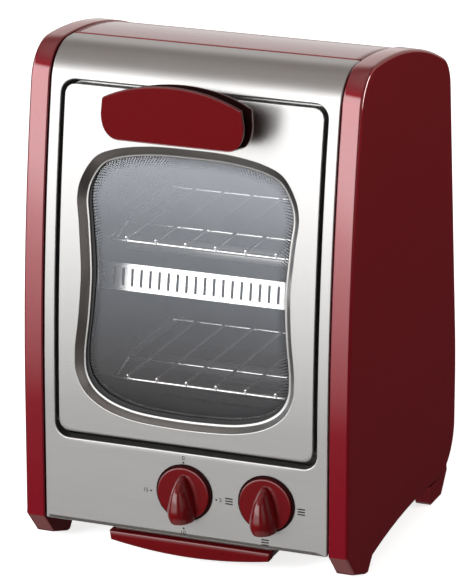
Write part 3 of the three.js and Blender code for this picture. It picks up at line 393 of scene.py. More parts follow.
def rounded_rect(half, low, high, corner, step=3.0, corner_steps=10):
    """Points (x, z) round a rectangle with round corners, counter-clockwise from its right side."""
    points = []

    def side_run(a, b):
        count = max(1, round(math.dist(a, b) / step))
        for i in range(count):
            points.append((a[0] + (b[0] - a[0]) * i / count, a[1] + (b[1] - a[1]) * i / count))

    def corner_run(cx, cz, start):
        for i in range(corner_steps):
            turn = start + math.pi / 2 * i / corner_steps
            points.append((cx + corner * math.cos(turn), cz + corner * math.sin(turn)))

    middle = (low + high) / 2
    side_run((half, middle), (half, high - corner))
    corner_run(half - corner, high - corner, 0)
    side_run((half - corner, high), (-half + corner, high))
    corner_run(-half + corner, high - corner, math.pi / 2)
    side_run((-half, high - corner), (-half, low + corner))
    corner_run(-half + corner, low + corner, math.pi)
    side_run((-half + corner, low), (half - corner, low))
    corner_run(half - corner, low + corner, math.pi * 1.5)
    side_run((half, low + corner), (half, middle))
    return points


def moved_in(points, distance):
    """A closed counter-clockwise line moved towards its inside."""
    count = len(points)
    result = []
    for i, (x, z) in enumerate(points):
        a, b = points[i - 1], points[(i + 1) % count]
        dx, dz = b[0] - a[0], b[1] - a[1]
        length = math.hypot(dx, dz)
        result.append((x - dz / length * distance, z + dx / length * distance))
    return result


def ray_to_rect(x, z, half, low, high, centre):
    """Where the line from centre through (x, z) leaves a rectangle."""
    dx, dz = x, z - centre
    reach = 1e9
    if abs(dx) > 1e-9:
        reach = min(reach, half / abs(dx))
    if dz > 1e-9:
        reach = min(reach, (high - centre) / dz)
    if dz < -1e-9:
        reach = min(reach, (low - centre) / dz)
    return (dx * reach, centre + dz * reach)


# The flat part of the sheet fans out from the opening to the sheet's own outline
door_half, door_low, door_high, door_corner = 93.3, 91.0, 334.0, 7.5
door_gap, door_gap_low, opening_roll, opening_depths = 2.6, 4.7, 0.9, (9.8, 5.0, 2.6)
opening_rect = rounded_rect(
    door_half + door_gap, door_low - door_gap_low, door_high + door_gap, door_corner + door_gap,
)
opening = [(x, run_at(z)) for x, z in opening_rect]
opening_centre = run_at(210)
opening_rim = moved_in(opening, -opening_roll)
flat_half = steel_half - edge_roll
outer = [ray_to_rect(x, run, flat_half, 0.0, face_end, opening_centre) for x, run in opening]
for corner in ((flat_half, 0.0), (flat_half, face_end), (-flat_half, face_end), (-flat_half, 0.0)):
    nearest = min(range(len(outer)), key=lambda i: math.dist(outer[i], corner))
    outer[nearest] = corner
fascia_loops = [[face_point(x, run, depth) for x, run in opening] for depth in opening_depths]
for fall, spread in rounding():
    ring = moved_in(opening, -opening_roll * spread)
    fascia_loops.append([face_point(x, run, steel_setback + opening_roll * fall) for x, run in ring])
flat_rows = 26
for i in range(1, flat_rows + 1):
    ring = [between(a, b, i / flat_rows) for a, b in zip(opening_rim, outer)]
    fascia_loops.append([face_point(x, run, steel_setback) for x, run in ring])
for degrees in range(15, 91, 15):
    turn = math.radians(degrees)
    out, fall = edge_roll * math.sin(turn), edge_roll * (1 - math.cos(turn))
    fascia_loops.append([
        face_point(x + math.copysign(out, x), run, steel_setback + fall)
        if abs(x) > flat_half - 0.01 else face_point(x, run, steel_setback)
        for x, run in outer
    ])
fascia_skin = loft(fascia_loops, False, False)


def sheet_across(half, line, spans):
    """An open skin that a line of (y, z) leaves when it is swept across the case."""
    columns = spans + 1
    across = [-half + 2 * half * j / spans for j in range(columns)]
    vertices = [(x, y, z) for y, z in line for x in across]
    faces = [
        (i * columns + j, i * columns + j + 1, (i + 1) * columns + j + 1, (i + 1) * columns + j)
        for i in range(len(line) - 1) for j in range(spans)
    ]
    return vertices, faces


# The fold under the bottom edge: a small bend, then a lip that runs back
fold_line = [
    (front_y + steel_setback + fold_round * move, fascia_low + fold_round * fall)
    for fall, move in rounding()
] + [(front_y + fold_back, fascia_low)]

# Long fine scratches along X, and gloss that spreads across them
brushed_steel = new_material(
    "brushed_steel", (0.445, 0.441, 0.435), 0.32, 1.0, Anisotropic=0.5, Specular_IOR_Level=0.5,
)
add_grain(brushed_steel, 1.0, ((0.445, 0.441, 0.435), (0.475, 0.471, 0.465)), (0.32, 0.36),
          bump=0.01, height=0.00001, stretch=(25, 3200, 3200))
brush_way = node(brushed_steel, "ShaderNodeTangent", direction_type="RADIAL", axis="X")
steel_tree = brushed_steel.node_tree
steel_tree.links.new(brush_way.outputs["Tangent"], steel_tree.nodes["Principled BSDF"].inputs["Tangent"])


def add_thickness(piece, thickness):
    """Gives a skin its gauge, inwards."""
    gauge = piece.modifiers.new("gauge", "SOLIDIFY")
    gauge.thickness = thickness * millimetre
    gauge.offset = -1.0
    gauge.use_even_offset = True


fold_spans = 60
fascia = make_piece(
    "fascia", [fascia_skin, sheet_across(flat_half, fold_line, fold_spans)], brushed_steel, "cabinet",
    ("front_fascia",), sharp=50,
)
add_thickness(fascia, steel_gauge)

# Top cover and rear cover
# Two steel sheets painted in the red of the panels: the top one is rolled over the rear corner,
# the rear one is screwed on over it and has punched air slots.
red_paint = new_material(
    "red_paint", (0.20, 0.003, 0.008), 0.35, 0.3,
    Coat_Weight=1.0, Coat_Roughness=0.12, Coat_IOR=1.5, Specular_IOR_Level=0.5,
)
add_grain(red_paint, 700, ((0.18, 0.002, 0.006), (0.22, 0.004, 0.010)), (0.32, 0.4),
          bump=0.05, height=0.00002)
seam_gap, cover_tail, cover_gauge = 0.5, 7.1, 0.9
cover_line = without_doubles(
    [point for point in top_run if point[0] > seam_y + seam_gap] + rear_corner
    + straight(rear_top, rear_at(rear_top[1] - cover_tail))
)
cover_run = [(y - ny * steel_setback, z - nz * steel_setback) for y, z, ny, nz in cover_line]
cover_spans = 40
cover = make_piece("cover_top", [sheet_across(steel_half, cover_run, cover_spans)], red_paint, "cabinet",
                   ("top_cover",), sharp=50)
add_thickness(cover, cover_gauge)


def dress(material, *names):
    """Gives CAD nodes their finish."""
    for name in names:
        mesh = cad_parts[name].data
        mesh.materials.clear()
        mesh.materials.append(material)


dress(red_paint, "rear_cover")

# Base plate, door frame and cavity
# Plain folded steel inside the case: a base with a crumb hole, the frame and hinges of the door in a black
# that is painted shade of the door's gap, and five dark coated plates around the heaters, with a square duct
# below for crumbs.
plain_steel = new_material("plain_steel", (0.60, 0.60, 0.59), 0.38, 1.0)
add_grain(plain_steel, 1.0, ((0.55, 0.55, 0.54), (0.66, 0.66, 0.65)), (0.3, 0.45),
          bump=0.08, height=0.00002, stretch=(60, 400, 400))
cavity_steel = new_material("cavity_steel", (0.065, 0.068, 0.078), 0.45, 0.6)
add_grain(cavity_steel, 160, ((0.055, 0.058, 0.067), (0.075, 0.079, 0.09)), (0.38, 0.52),
          bump=0.06, height=0.00003)
# Black for the door frame and hinges: painted shade of the gap round the door
gap_shade_black = new_material("gap_shade_black", (0.02, 0.019, 0.018), 0.5, 0.0)
add_grain(gap_shade_black, 400, ((0.016, 0.015, 0.014), (0.024, 0.023, 0.022)), (0.44, 0.58),
          bump=0.08, height=0.00002)
for side in ("left", "right"):
    dress(gap_shade_black, f"hinge_bracket_{side}", f"hinge_pin_{side}")
    dress(plain_steel, f"tray_rail_{side}", f"handle_screw_{side}")
    for level in ("upper", "lower"):
        dress(plain_steel, f"rear_screw_{level}_{side}", f"rack_rail_{level}_{side}")
    dress(cavity_steel, f"cavity_wall_{side}")
dress(gap_shade_black, "door_frame")
dress(plain_steel, "base_plate", "tray_pan", "door_liner", "timer_shaft", "selector_shaft")
dress(cavity_steel, "cavity_roof", "cavity_floor", "cavity_rear_wall", "crumb_chute")

# Heaters
# Three quartz tubes, frosted but for the dark bottom one under the crumbs, held by unglazed ceramic caps
# in the cavity walls. The middle one has a slotted bright steel guard in front of it.
quartz = new_material("quartz", (0.95, 0.95, 0.94), 0.3, 0.85, Specular_IOR_Level=1.0)
add_grain(quartz, 900, ((0.94, 0.94, 0.93), (0.97, 0.97, 0.96)), (0.27, 0.33), bump=0.1, height=0.00002)
dark_quartz = new_material("dark_quartz", (0.06, 0.06, 0.065), 0.35, 0.0)
add_grain(dark_quartz, 900, ((0.05, 0.05, 0.055), (0.07, 0.07, 0.075)), (0.3, 0.4), bump=0.1, height=0.00002)
ceramic = new_material("ceramic", (0.82, 0.80, 0.74), 0.75, 0.0)
add_grain(ceramic, 1200, ((0.78, 0.76, 0.70), (0.86, 0.84, 0.78)), (0.68, 0.85), bump=0.25, height=0.00004)
tube_half, tube_y, tube_radius, tube_sides = 94, 6.3, 5.25, 40
end_bulge = 0.6
end_rims = [(0.0, 1.0), (0.3, 0.95), (0.7, 0.71), (0.95, 0.3)]


def circle(count):
    """(cos, sin) at even steps of a full turn."""
    turns = [2 * math.pi * k / count for k in range(count)]
    return [(math.cos(turn), math.sin(turn)) for turn in turns]


def tube_along(points, radius, sides=14):
    """A round bar along points in millimetres, with round ends."""
    stations = [Vector(point) for point in points]
    loops = []
    side_way = None
    for i, here in enumerate(stations):
        before, after = stations[max(i - 1, 0)], stations[min(i + 1, len(stations) - 1)]
        way = (after - before).normalized()
        if side_way is None:
            side_way = way.orthogonal().normalized()
        side_way = (side_way - way * side_way.dot(way)).normalized()
        other = way.cross(side_way)
        rims = [(0.0, 1.0)]
        if i == 0:
            rims = [(-push, width) for push, width in reversed(end_rims)]
        elif i == len(stations) - 1:
            rims = end_rims
        for push, width in rims:
            centre = here + way * push * radius * end_bulge
            loops.append([
                tuple(centre + (side_way * across + other * up) * radius * width)
                for across, up in circle(sides)
            ])
    return loft(loops)


for level, z in (("top", 303.0), ("middle", 195.017), ("bottom", 108.0)):
    make_piece(
        f"quartz_{level}",
        [tube_along([(-tube_half, tube_y, z), (tube_half, tube_y, z)], tube_radius, tube_sides)],
        dark_quartz if level == "bottom" else quartz, "cabinet", (f"heater_tube_{level}",), sharp=60,
    )
    dress(ceramic, f"heater_cap_{level}_left", f"heater_cap_{level}_right")

guard_steel = new_material("guard_steel", (0.90, 0.90, 0.89), 0.25, 1.0)
add_grain(guard_steel, 1.0, ((0.88, 0.88, 0.87), (0.92, 0.92, 0.91)), (0.22, 0.3),
          bump=0.02, height=0.00002, stretch=(60, 400, 400))
guard_half, guard_y, guard_low, guard_high = 87.8, front_y + 39.4, 184.7, 203.5
guard_gauge, guard_lean = 0.8, math.radians(9)
guard_middle = (guard_low + guard_high) / 2
slot_pitch, slot_count, slot_half, slot_rise = 6.7056, 25, 1.0, 6.2
slot_low, slot_high = guard_middle - slot_rise, guard_middle + slot_rise


def guard_plate(left, right, low, high):
    """A flat piece of the guard, leaning back at the top."""
    corners = [(left, low), (right, low), (right, high), (left, high)]
    return loft([
        [
            (x, guard_y + (z - guard_middle) * math.sin(guard_lean) + depth - guard_gauge / 2,
             guard_middle + (z - guard_middle) * math.cos(guard_lean))
            for x, z in corners
        ]
        for depth in (0.0, guard_gauge)
    ])


guard_parts = [
    guard_plate(-guard_half, guard_half, slot_high, guard_high),
    guard_plate(-guard_half, guard_half, guard_low, slot_low),
]
slot_edges = [-guard_half]
for i in range(slot_count):
    slot_x = (i - slot_count // 2) * slot_pitch
    slot_edges.extend((slot_x - slot_half, slot_x + slot_half))
slot_edges.append(guard_half)
for left, right in zip(slot_edges[::2], slot_edges[1::2]):
    guard_parts.append(guard_plate(left, right, slot_low, slot_high))
make_piece("guard", guard_parts, guard_steel, "cabinet", ("heater_guard",), sharp=30)

# Controls and wiring behind the fascia
# Clockwork timer and rotary switch in cream heat-proof mouldings, a terminal block,
# a round cut-out on the cavity roof and one loom of black wires.
cream_plastic = new_material("cream_plastic", (0.72, 0.68, 0.58), 0.5, 0.0)
add_grain(cream_plastic, 500, ((0.69, 0.65, 0.55), (0.75, 0.71, 0.61)), (0.45, 0.58),
          bump=0.1, height=0.00003)
black_plastic = new_material("black_plastic", (0.018, 0.018, 0.019), 0.48, 0.0)
add_grain(black_plastic, 700, ((0.015, 0.015, 0.016), (0.024, 0.024, 0.025)), (0.42, 0.56),
          bump=0.15, height=0.00003)
dress(cream_plastic, "timer_unit", "selector_switch", "terminal_block")
dress(black_plastic, "thermal_cutout", "wiring_loom", "cord_gland")

# Rear feet
# Pads in the panels' red plastic, pushed on under the back of each side panel;
# their flat undersides carry the weight.
dress(red_moulding, "rear_foot_left", "rear_foot_right")

# Door skin
# A pressed pan of the same brushed steel that follows the lean of the case, its rim folded back.
# Around the shaped window hole the sheet slopes in to a narrow flat lip.
window_half, window_up, window_middle, window_aside = 80.4, 97.6, 200.05, -0.8
window_shares = [
    (0, 1), (.39, .99), (.69, .945), (.845, .883), (.965, .731), (1, .6), (.979, .406), (.954, .142),
    (.950, .02), (.966, -.239), (1, -.537), (.984, -.691), (.902, -.817), (.754, -.909), (.515, -.973),
    (.19, -.997),
]
half_line = [(across * window_half, window_middle + up * window_up) for across, up in window_shares]
mirrored = [(-x, z) for x, z in reversed(half_line[1:])]
window_stops = [(x + window_aside, z) for x, z in half_line + mirrored]


def smooth_closed(stops, per_span=24):
    """A centripetal Catmull-Rom line through closed stops."""
    count = len(stops)
    points = []
    for i in range(count):
        p0, p1, p2, p3 = (Vector(stops[(i + k) % count]) for k in (-1, 0, 1, 2))
        t01, t12, t23 = (max((b - a).length, 1e-6) ** 0.5 for a, b in ((p0, p1), (p1, p2), (p2, p3)))
        m1 = (p1 - p0) / t01 - (p2 - p0) / (t01 + t12) + (p2 - p1) / t12
        m2 = (p2 - p1) / t12 - (p3 - p1) / (t12 + t23) + (p3 - p2) / t23
        m1, m2 = m1 * t12, m2 * t12
        for k in range(per_span):
            t = k / per_span
            points.append(tuple(
                (2 * t ** 3 - 3 * t ** 2 + 1) * p1 + (t ** 3 - 2 * t ** 2 + t) * m1
                + (-2 * t ** 3 + 3 * t ** 2) * p2 + (t ** 3 - t ** 2) * m2
            ))
    return points


def even_spacing(points, count):
    """Count points at equal distances along a closed line."""
    ring = points + points[:1]
    lengths = line_length(ring)
    result, k = [], 0
    for i in range(count):
        want = lengths[-1] * i / count
        while lengths[k + 1] < want:
            k += 1
        result.append(between(ring[k], ring[k + 1], (want - lengths[k]) / (lengths[k + 1] - lengths[k])))
    return result


window_points = 300
window_line = even_spacing(smooth_closed(window_stops)[::-1], window_points)


def rect_point(x, z, inset):
    """Where the ray from the window's middle through (x, z) meets the door's rounded outline, moved in."""
    centre = Vector((0, window_middle))
    way = (Vector((x, z)) - centre).normalized()
    half, low, high, corner = door_half - inset, door_low + inset, door_high - inset, door_corner - inset
    px, pz = ray_to_rect(way.x, window_middle + way.y, half, low, high, window_middle)
    cz = high - corner if pz > window_middle else low + corner
    cx = math.copysign(half - corner, px)
    if abs(px) > half - corner and (pz > high - corner or pz < low + corner):
        to_corner = Vector((cx, cz)) - centre
        b = way.dot(to_corner)
        root = b * b - to_corner.length_squared + corner ** 2
        hit = centre + way * (b + math.sqrt(max(root, 0.0)))
        px, pz = hit.x, hit.y
    return (px, pz)


def face_loop(points, depth):
    """A closed line of (x, z) laid on the leaning face, moved in by depth."""
    return [face_point(x, run_at(z), depth) for x, z in points]


def door_ring(inset):
    return [rect_point(x, z, inset) for x, z in window_line]


door_roll, door_depths, door_rows = 0.9, (13.8, 8.0, 4.0), 15
skin_loops = [face_loop(door_ring(0.0), depth) for depth in door_depths]
for fall, inset in rounding():
    skin_loops.append(face_loop(door_ring(door_roll * inset), steel_setback + door_roll * fall))
for i in range(1, door_rows):
    ring = [between(a, b, i / door_rows) for a, b in zip(door_ring(door_roll), window_line)]
    skin_loops.append(face_loop(ring, steel_setback))

# From the recess's edge to the lip's end, as (how far in, how deep)
slope_profile = [
    (-0.3, 0.0), (0.0, 0.0), (0.25, 0.05), (0.47, 0.2), (0.65, 0.42), (0.85, 0.7), (2.0, 2.05), (3.0, 3.25),
    (3.9, 4.4), (4.2, 4.9), (4.45, 5.3), (4.8, 5.58), (5.2, 5.7), (5.8, 5.7), (6.15, 5.85), (6.3, 6.2),
    (6.3, 6.6),
]
lip_depth, lip_drop = 5.7, 1.1


def lowered(ring, share=1.0):
    """The lip and the glass sit a little lower than the outline of the recess."""
    return [(x, z - lip_drop * share) for x, z in ring]


for inset, depth in slope_profile:
    ring = lowered(moved_in(window_line, inset), min(depth / lip_depth, 1.0))
    skin_loops.append(face_loop(ring, steel_setback + depth))
skin = make_piece("skin", [loft(skin_loops, False, False)], brushed_steel, "door",
                  ("door_skin",), sharp=55)
add_thickness(skin, steel_gauge)

# Window
# Grey toughened glass against a black silicone seal, held by the liner's collar behind it.
# A black enamel border is printed on the glass, with rows of dots that get smaller inwards.
glass = new_material("window_glass", (0.62, 0.65, 0.71), 0.04, 1.0, Alpha=0.165)
glass.blend_method = "BLEND"
add_grain(glass, 60, ((0.60, 0.63, 0.69), (0.64, 0.67, 0.73)))
glass_front, glass_back, glass_inset = 9.0, 12.0, 2.0


def pane_loop(inset, depth, share=1.0):
    """A loop on the glass, which is bent like the door's face."""
    ring = [(x * share, window_middle + (z - window_middle) * share) for x, z in moved_in(window_line, inset)]
    return face_loop(lowered(ring), depth)


pane_rings = 16
shares = [1 - i / pane_rings for i in range(pane_rings)] + [0.01]
pane_loops = [pane_loop(glass_inset, glass_front, share) for share in shares[::-1]]
pane_loops += [pane_loop(glass_inset, glass_back, share) for share in shares]
pane = make_piece("pane", [loft(pane_loops)], glass, "door", ("window_glass",), sharp=40)

# The coating that mirrors is on the front; the inner face is nearly clear
clear_glass = new_material("clear_glass", (0.8, 0.83, 0.86), 0.05, 0.0, Alpha=0.03)
clear_glass.blend_method = "BLEND"
add_grain(clear_glass, 60, ((0.78, 0.81, 0.84), (0.82, 0.85, 0.88)))
pane.data.materials.append(clear_glass)
first_back_face = (len(shares) - 1) * len(window_line)
for face in pane.data.polygons[first_back_face:]:
    if face.normal.y > -0.5:
        face.material_index = 1
rubber = new_material("gasket_rubber", (0.012, 0.012, 0.013), 0.6, 0.0)
add_grain(rubber, 900, ((0.010, 0.010, 0.011), (0.016, 0.016, 0.017)), (0.55, 0.68), bump=0.1, height=0.00003)
dress(rubber, "window_gasket")

enamel = new_material("black_enamel", (0.014, 0.014, 0.015), 0.07, 0.0, IOR=1.45)
add_grain(enamel, 1500, ((0.012, 0.012, 0.013), (0.018, 0.018, 0.019)), (0.05, 0.09))
print_height, band_outer, band_inner = 0.06, 3.6, 6.4
dots_around = 270
dot_rows = [(7.0, 0.74), (8.2, 0.64), (9.4, 0.54), (10.6, 0.44), (11.8, 0.34), (13.0, 0.25)]


def dot(x, z, radius):
    ring = [(x + radius * across, z + radius * up) for across, up in circle(10)]
    return loft([face_loop(ring, glass_front - raised) for raised in (print_height, 0.0)])


dots = []
for row, (inset, radius) in enumerate(dot_rows):
    places = even_spacing(lowered(moved_in(window_line, inset)), 2 * dots_around)
    dots.extend(dot(x, z, radius) for x, z in places[row % 2::2])
band_profile = [(band_outer, print_height), (band_inner, print_height), (band_inner, 0.0), (band_outer, 0.0)]
band = [pane_loop(inset, glass_front - raised) for inset, raised in band_profile]
make_piece("glass_border", [loft(band + band[:1], False, False)] + dots, enamel, "door",
           sharp=40)

# Handle
# A hollow moulding in solid dark red gloss: a flared front plate and a rear plate joined by a floor,
# so that fingers go in between. Its stem is held to the skin by two screws from inside.
red_gloss = new_material(
    "red_gloss", (0.10, 0.0035, 0.005), 0.35, 0.0,
    Coat_Weight=1.0, Coat_Roughness=0.06, Coat_IOR=1.65, Specular_IOR_Level=0.0,
)
add_grain(red_gloss, 900, ((0.09, 0.003, 0.0045), (0.11, 0.004, 0.0055)), (0.32, 0.4))
handle_z = door_high - 6
handle_tilt = math.asin((handle_z - lean_from) / lean_radius)
handle_origin = (
    0,
    front_at(handle_z) + steel_setback * math.cos(handle_tilt),
    handle_z - steel_setback * math.sin(handle_tilt),
)
handle_place = Matrix.Translation(handle_origin) @ Matrix.Rotation(-handle_tilt, 4, "X")
handle_half, tip_half, handle_rise, handle_drop, tip = 50.6, 49.2, 14.3, 25.2, 3.0
shoulder, corner_reach, crown_reach = tip - handle_drop * 0.44, handle_drop * 0.5, tip_half * 0.55
handle_reach, plate_gauge, rear_plate_front = 40.0, 3.0, -20.5
plate_round, rear_plate_round, handle_flare = 0.15, 0.4, math.radians(13)
floor_front, floor_back, floor_top, stem_end = -33.0, -19.0, -22.2, -0.6
stem_half, stem_low, stem_high, stem_corner = 22, -12, 4, 3.0
handle_points = 240


def quadratic(a, b, c, count=24):
    """Points (x, z) along a quadratic bend, without its last one."""
    return [
        ((1 - t) ** 2 * a[0] + 2 * t * (1 - t) * b[0] + t * t * c[0],
         (1 - t) ** 2 * a[1] + 2 * t * (1 - t) * b[1] + t * t * c[1])
        for t in (i / count for i in range(count))
    ]


right_foot = (handle_half - corner_reach, -handle_drop)
left_foot = (-handle_half + corner_reach, -handle_drop)
handle_line = even_spacing(
    [(tip_half, tip)] + quadratic((tip_half, tip - 0.1), (crown_reach, handle_rise), (0, handle_rise))[1:]
    + quadratic((0, handle_rise), (-crown_reach, handle_rise), (-tip_half, tip)) + [(-tip_half, tip)]
    + quadratic((-handle_half, shoulder), (-handle_half, -handle_drop), left_foot)
    + quadratic(right_foot, (handle_half, -handle_drop), (handle_half, shoulder)) + [(handle_half, shoulder)],
    handle_points,
)


def plate(front, round_front, round_back):
    """A plate of the handle's outline with rounded edges, along its own depth."""
    back = front + plate_gauge
    loops = [[(x, front, v) for x, v in moved_in(handle_line, round_front + 1.0)]]
    for fall, inset in reversed(rounding()):
        ring = moved_in(handle_line, round_front * inset)
        loops.append([(x, front + round_front * fall, v) for x, v in ring])
    for fall, inset in rounding():
        ring = moved_in(handle_line, round_back * inset)
        loops.append([(x, back - round_back * fall, v) for x, v in ring])
    return loops + [[(x, back, v) for x, v in moved_in(handle_line, round_back + 1.0)]]


def flared(loops):
    """Loops of the front plate leant out at the top."""
    flare = (Matrix.Translation((0, -handle_reach, tip)) @ Matrix.Rotation(handle_flare, 4, "X")
             @ Matrix.Translation((0, handle_reach, -tip)))
    return [[tuple(flare @ Vector(point)) for point in loop] for loop in loops]


floor_line = [(x, max(v, -handle_drop)) for x, v in handle_line if v < -22.0]
floor_line.sort(key=lambda point: point[0])
floor_ring = floor_line + [(x, floor_top) for x, _ in reversed(floor_line)]
floor_part = loft([[(x, y, v) for x, v in floor_ring] for y in (floor_front, floor_back)])
stem_ring = rounded_rect(stem_half, stem_low, stem_high, stem_corner)
stem_part = loft([[(x, y, v) for x, v in stem_ring] for y in (floor_back, stem_end)])
front_plate_part = loft(flared(plate(-handle_reach, plate_round, plate_round)))
rear_plate_part = loft(plate(rear_plate_front, plate_round, rear_plate_round))
handle = make_piece(
    "handle", [front_plate_part, rear_plate_part, floor_part, stem_part],
    red_gloss, "door", ("door_handle",), sharp=38, turn=handle_place,
)

# The inside of the grip is painted near black, as painted shade between the plates; the thin rim of the front
# plate gets a darker, less glossy red, as painted shade that damps its highlight
# Near-black red: painted shade, used inside the grip and round the dials' rims
painted_shade_red = new_material("painted_shade_red", (0.014, 0.002, 0.002), 0.8, 0.0, Specular_IOR_Level=0.05)
add_grain(painted_shade_red, 900, ((0.010, 0.0015, 0.0015), (0.016, 0.003, 0.003)), (0.65, 0.78),
          bump=0.2, height=0.00003)
# A darker, duller copy of the red gloss: painted shade over the handle's rim
painted_rim_shade = new_material(
    "painted_rim_shade", (0.085, 0.003, 0.0045), 0.5, 0.0,
    Coat_Weight=0.25, Coat_Roughness=0.2, Specular_IOR_Level=0.1,
)
add_grain(painted_rim_shade, 900, ((0.075, 0.0025, 0.004), (0.095, 0.0035, 0.005)), (0.45, 0.55))
handle.data.materials.append(painted_shade_red)
handle.data.materials.append(painted_rim_shade)
to_handle = handle_place.inverted()
square_on = 0.9
# Faces inside the grip take the near-black red as painted shade; the rim's side faces take the duller red as
# painted shade
for face in handle.data.polygons:
    spot = to_handle @ (face.center / millimetre)
    facing = to_handle.to_3x3() @ face.normal
    rear_plate_face = facing.y < -square_on and -22 < spot.y < -19
    front_plate_back = facing.y > square_on and spot.y < -25
    floor_face = facing.z > square_on and spot.z < -20
    if rear_plate_face or front_plate_back or floor_face:
        face.material_index = 1
    elif abs(facing.y) < square_on and spot.y < floor_front:
        face.material_index = 2

# Crumb tray
# A folded steel pan on rails under the base, with a curved red lip of the handle's plastic to pull it by.
tray_back, tray_front = -90.0, -99.0
tray_half, tray_top, tray_end, tray_middle = 59.5, 18.7, 12.0, 6.7
tray_spans = 40


def tray_lip(inset, y):
    """A section of the lip: straight along its top, bowed down along its bottom."""
    half, top, end, middle = tray_half - inset, tray_top - inset, tray_end + inset, tray_middle + inset
    across = [-half + 1 + 2 * (half - 1) * i / tray_spans for i in range(tray_spans + 1)]
    bottom = [(x, y, end - (end - middle) * (1 - (x / (half - 1)) ** 2)) for x in across]
    return [(-half, y, top)] + bottom + [(half, y, top)]


make_piece("tray_lip", [loft([
    tray_lip(0.0, tray_back), tray_lip(0.0, tray_front + 1.2), tray_lip(0.2, tray_front + 0.6),
    tray_lip(0.6, tray_front + 0.2), tray_lip(1.2, tray_front),
])], red_gloss, "crumb_tray", ("tray_handle",), sharp=40)

# Knobs
# Two red moulded dials pushed on the shafts: a flat disc over a rim painted near black as the shadow in the
# gap round it, with a swelling grip across it that narrows to a pointer.
knob_z, disc_sides = 57.6, 96
rim_profile = [(19.6, -0.3), (20.4, -0.45), (20.5, -0.9), (20.3, -1.3), (18.0, -1.4)]
disc_profile = [
    (18.75, -1.0), (18.75, -2.9), (18.65, -3.25), (18.4, -3.45), (18.0, -3.5), (17.4, -3.5), (8.0, -3.5),
]
grip_low, grip_length, grip_rows, grip_steps = -19.6, 33.2, 30, 24
grip_foot, grip_swell = -3.3, 1.05
grip_along = [-19.6, -18.6, -12.7, -5.1, 4.1, 10.7, 13.6]
grip_wide = [6.4, 8.2, 9.5, 8.9, 6.6, 3.9, 1.6]
grip_tall = [8.0, 12.0, 15.6, 15.6, 13.8, 8.4, 1.8]


def along_table(keys, values, t):
    """A smooth value at t from a table of keys and values."""
    for k in range(len(keys) - 1):
        if t <= keys[k + 1]:
            u = (t - keys[k]) / (keys[k + 1] - keys[k])
            p0, p1, p2 = values[max(k - 1, 0)], values[k], values[k + 1]
            p3 = values[min(k + 2, len(keys) - 1)]
            return 0.5 * (
                2 * p1 + (p2 - p0) * u + (2 * p0 - 5 * p1 + 4 * p2 - p3) * u ** 2
                + (3 * p1 - p0 - 3 * p2 + p3) * u ** 3
            )
    return values[-1]


def round_part(profile):
    """A turned part from a profile of (radius, y)."""
    return loft([[(r * across, y, r * up) for across, up in circle(disc_sides)] for r, y in profile])


def grip_part():
    loops = []
    for i in range(grip_rows + 1):
        v = grip_low + grip_length * i / grip_rows
        wide = along_table(grip_along, grip_wide, v)
        tall = along_table(grip_along, grip_tall, v)
        turns = [math.pi * k / grip_steps for k in range(grip_steps + 1)]
        loops.append([
            (wide * math.cos(turn), grip_foot - tall * max(math.sin(turn), 0.0) ** grip_swell, v)
            for turn in turns
        ])
    return loft(loops)


for word, x in (("timer", 0.0), ("selector", 60.0)):
    dial = make_piece(
        f"dial_{word}", [round_part(rim_profile), round_part(disc_profile), grip_part()],
        red_gloss, f"{word}_dial", (f"{word}_knob",), sharp=42,
        turn=Matrix.Translation((x, front_y + steel_setback, knob_z)),
    )
    # The rim under the disc is painted near black: painted shade of the gap between the dial and the fascia
    dial.data.materials.append(painted_shade_red)
    for face in dial.data.polygons:
        if face.center.y / millimetre - front_y - steel_setback > -1.45:
            face.material_index = 1

# Dial marks
# Black ink printed on the fascia: dots and minutes around the timer,
# three-stroke heat signs around the switch.
ink = new_material("dial_ink", (0.012, 0.012, 0.013), 0.6, 0.0, Specular_IOR_Level=0.2)
add_grain(ink, 2500, ((0.010, 0.010, 0.011), (0.016, 0.016, 0.017)), (0.55, 0.68))
ink_front, ink_back = front_y + steel_setback - 0.06, front_y + steel_setback + 0.05
minute_dots = [(-0.8, 79.2), (23.3, 55.4), (-0.8, 31.2), (-24.8, 55.6)]
minute_dot_radius = 0.7
heat_signs = [(85.2, 55.2), (59.0, 29.3), (32.6, 55.6)]
stroke_half, stroke_pitch, stroke_wide = 2.7, 1.9, 0.95


def printed(points):
    """A mark of (x, z) as thin as ink on the face."""
    return loft([[(x, y, z) for x, z in points] for y in (ink_front, ink_back)])


def stroke(x, z):
    left, right, low, high = x - stroke_half, x + stroke_half, z - stroke_wide / 2, z + stroke_wide / 2
    return printed([(left, high), (right, high), (right, low), (left, low)])


marks = [
    printed([(x + minute_dot_radius * across, z + minute_dot_radius * up) for across, up in circle(16)])
    for x, z in minute_dots
]
for x, z in heat_signs:
    for row in (-1, 0, 1):
        marks.append(stroke(x, z + row * stroke_pitch))
make_piece("dial_marks", marks, ink, "cabinet", sharp=30)

for text, x, z in (("0", -0.8, 82.4), ("5", 26.4, 55.4), ("10", -1.2, 27.8), ("15", -28.8, 55.6)):
    name = f"minutes_{text}"
    letters = bpy.data.curves.new(name, "FONT")
    letters.body = text
    letters.size = 4.2 * millimetre
    letters.align_x, letters.align_y = "CENTER", "CENTER"
    letters.extrude = 0.04 * millimetre
    letters.materials.append(ink)
    piece = bpy.data.objects.new(name, letters)
    piece.location = (x * millimetre, (ink_front + 0.02) * millimetre, z * millimetre)
    piece.rotation_euler = (math.radians(90), 0, 0)
    bpy.context.collection.objects.link(piece)
    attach(piece, "cabinet")

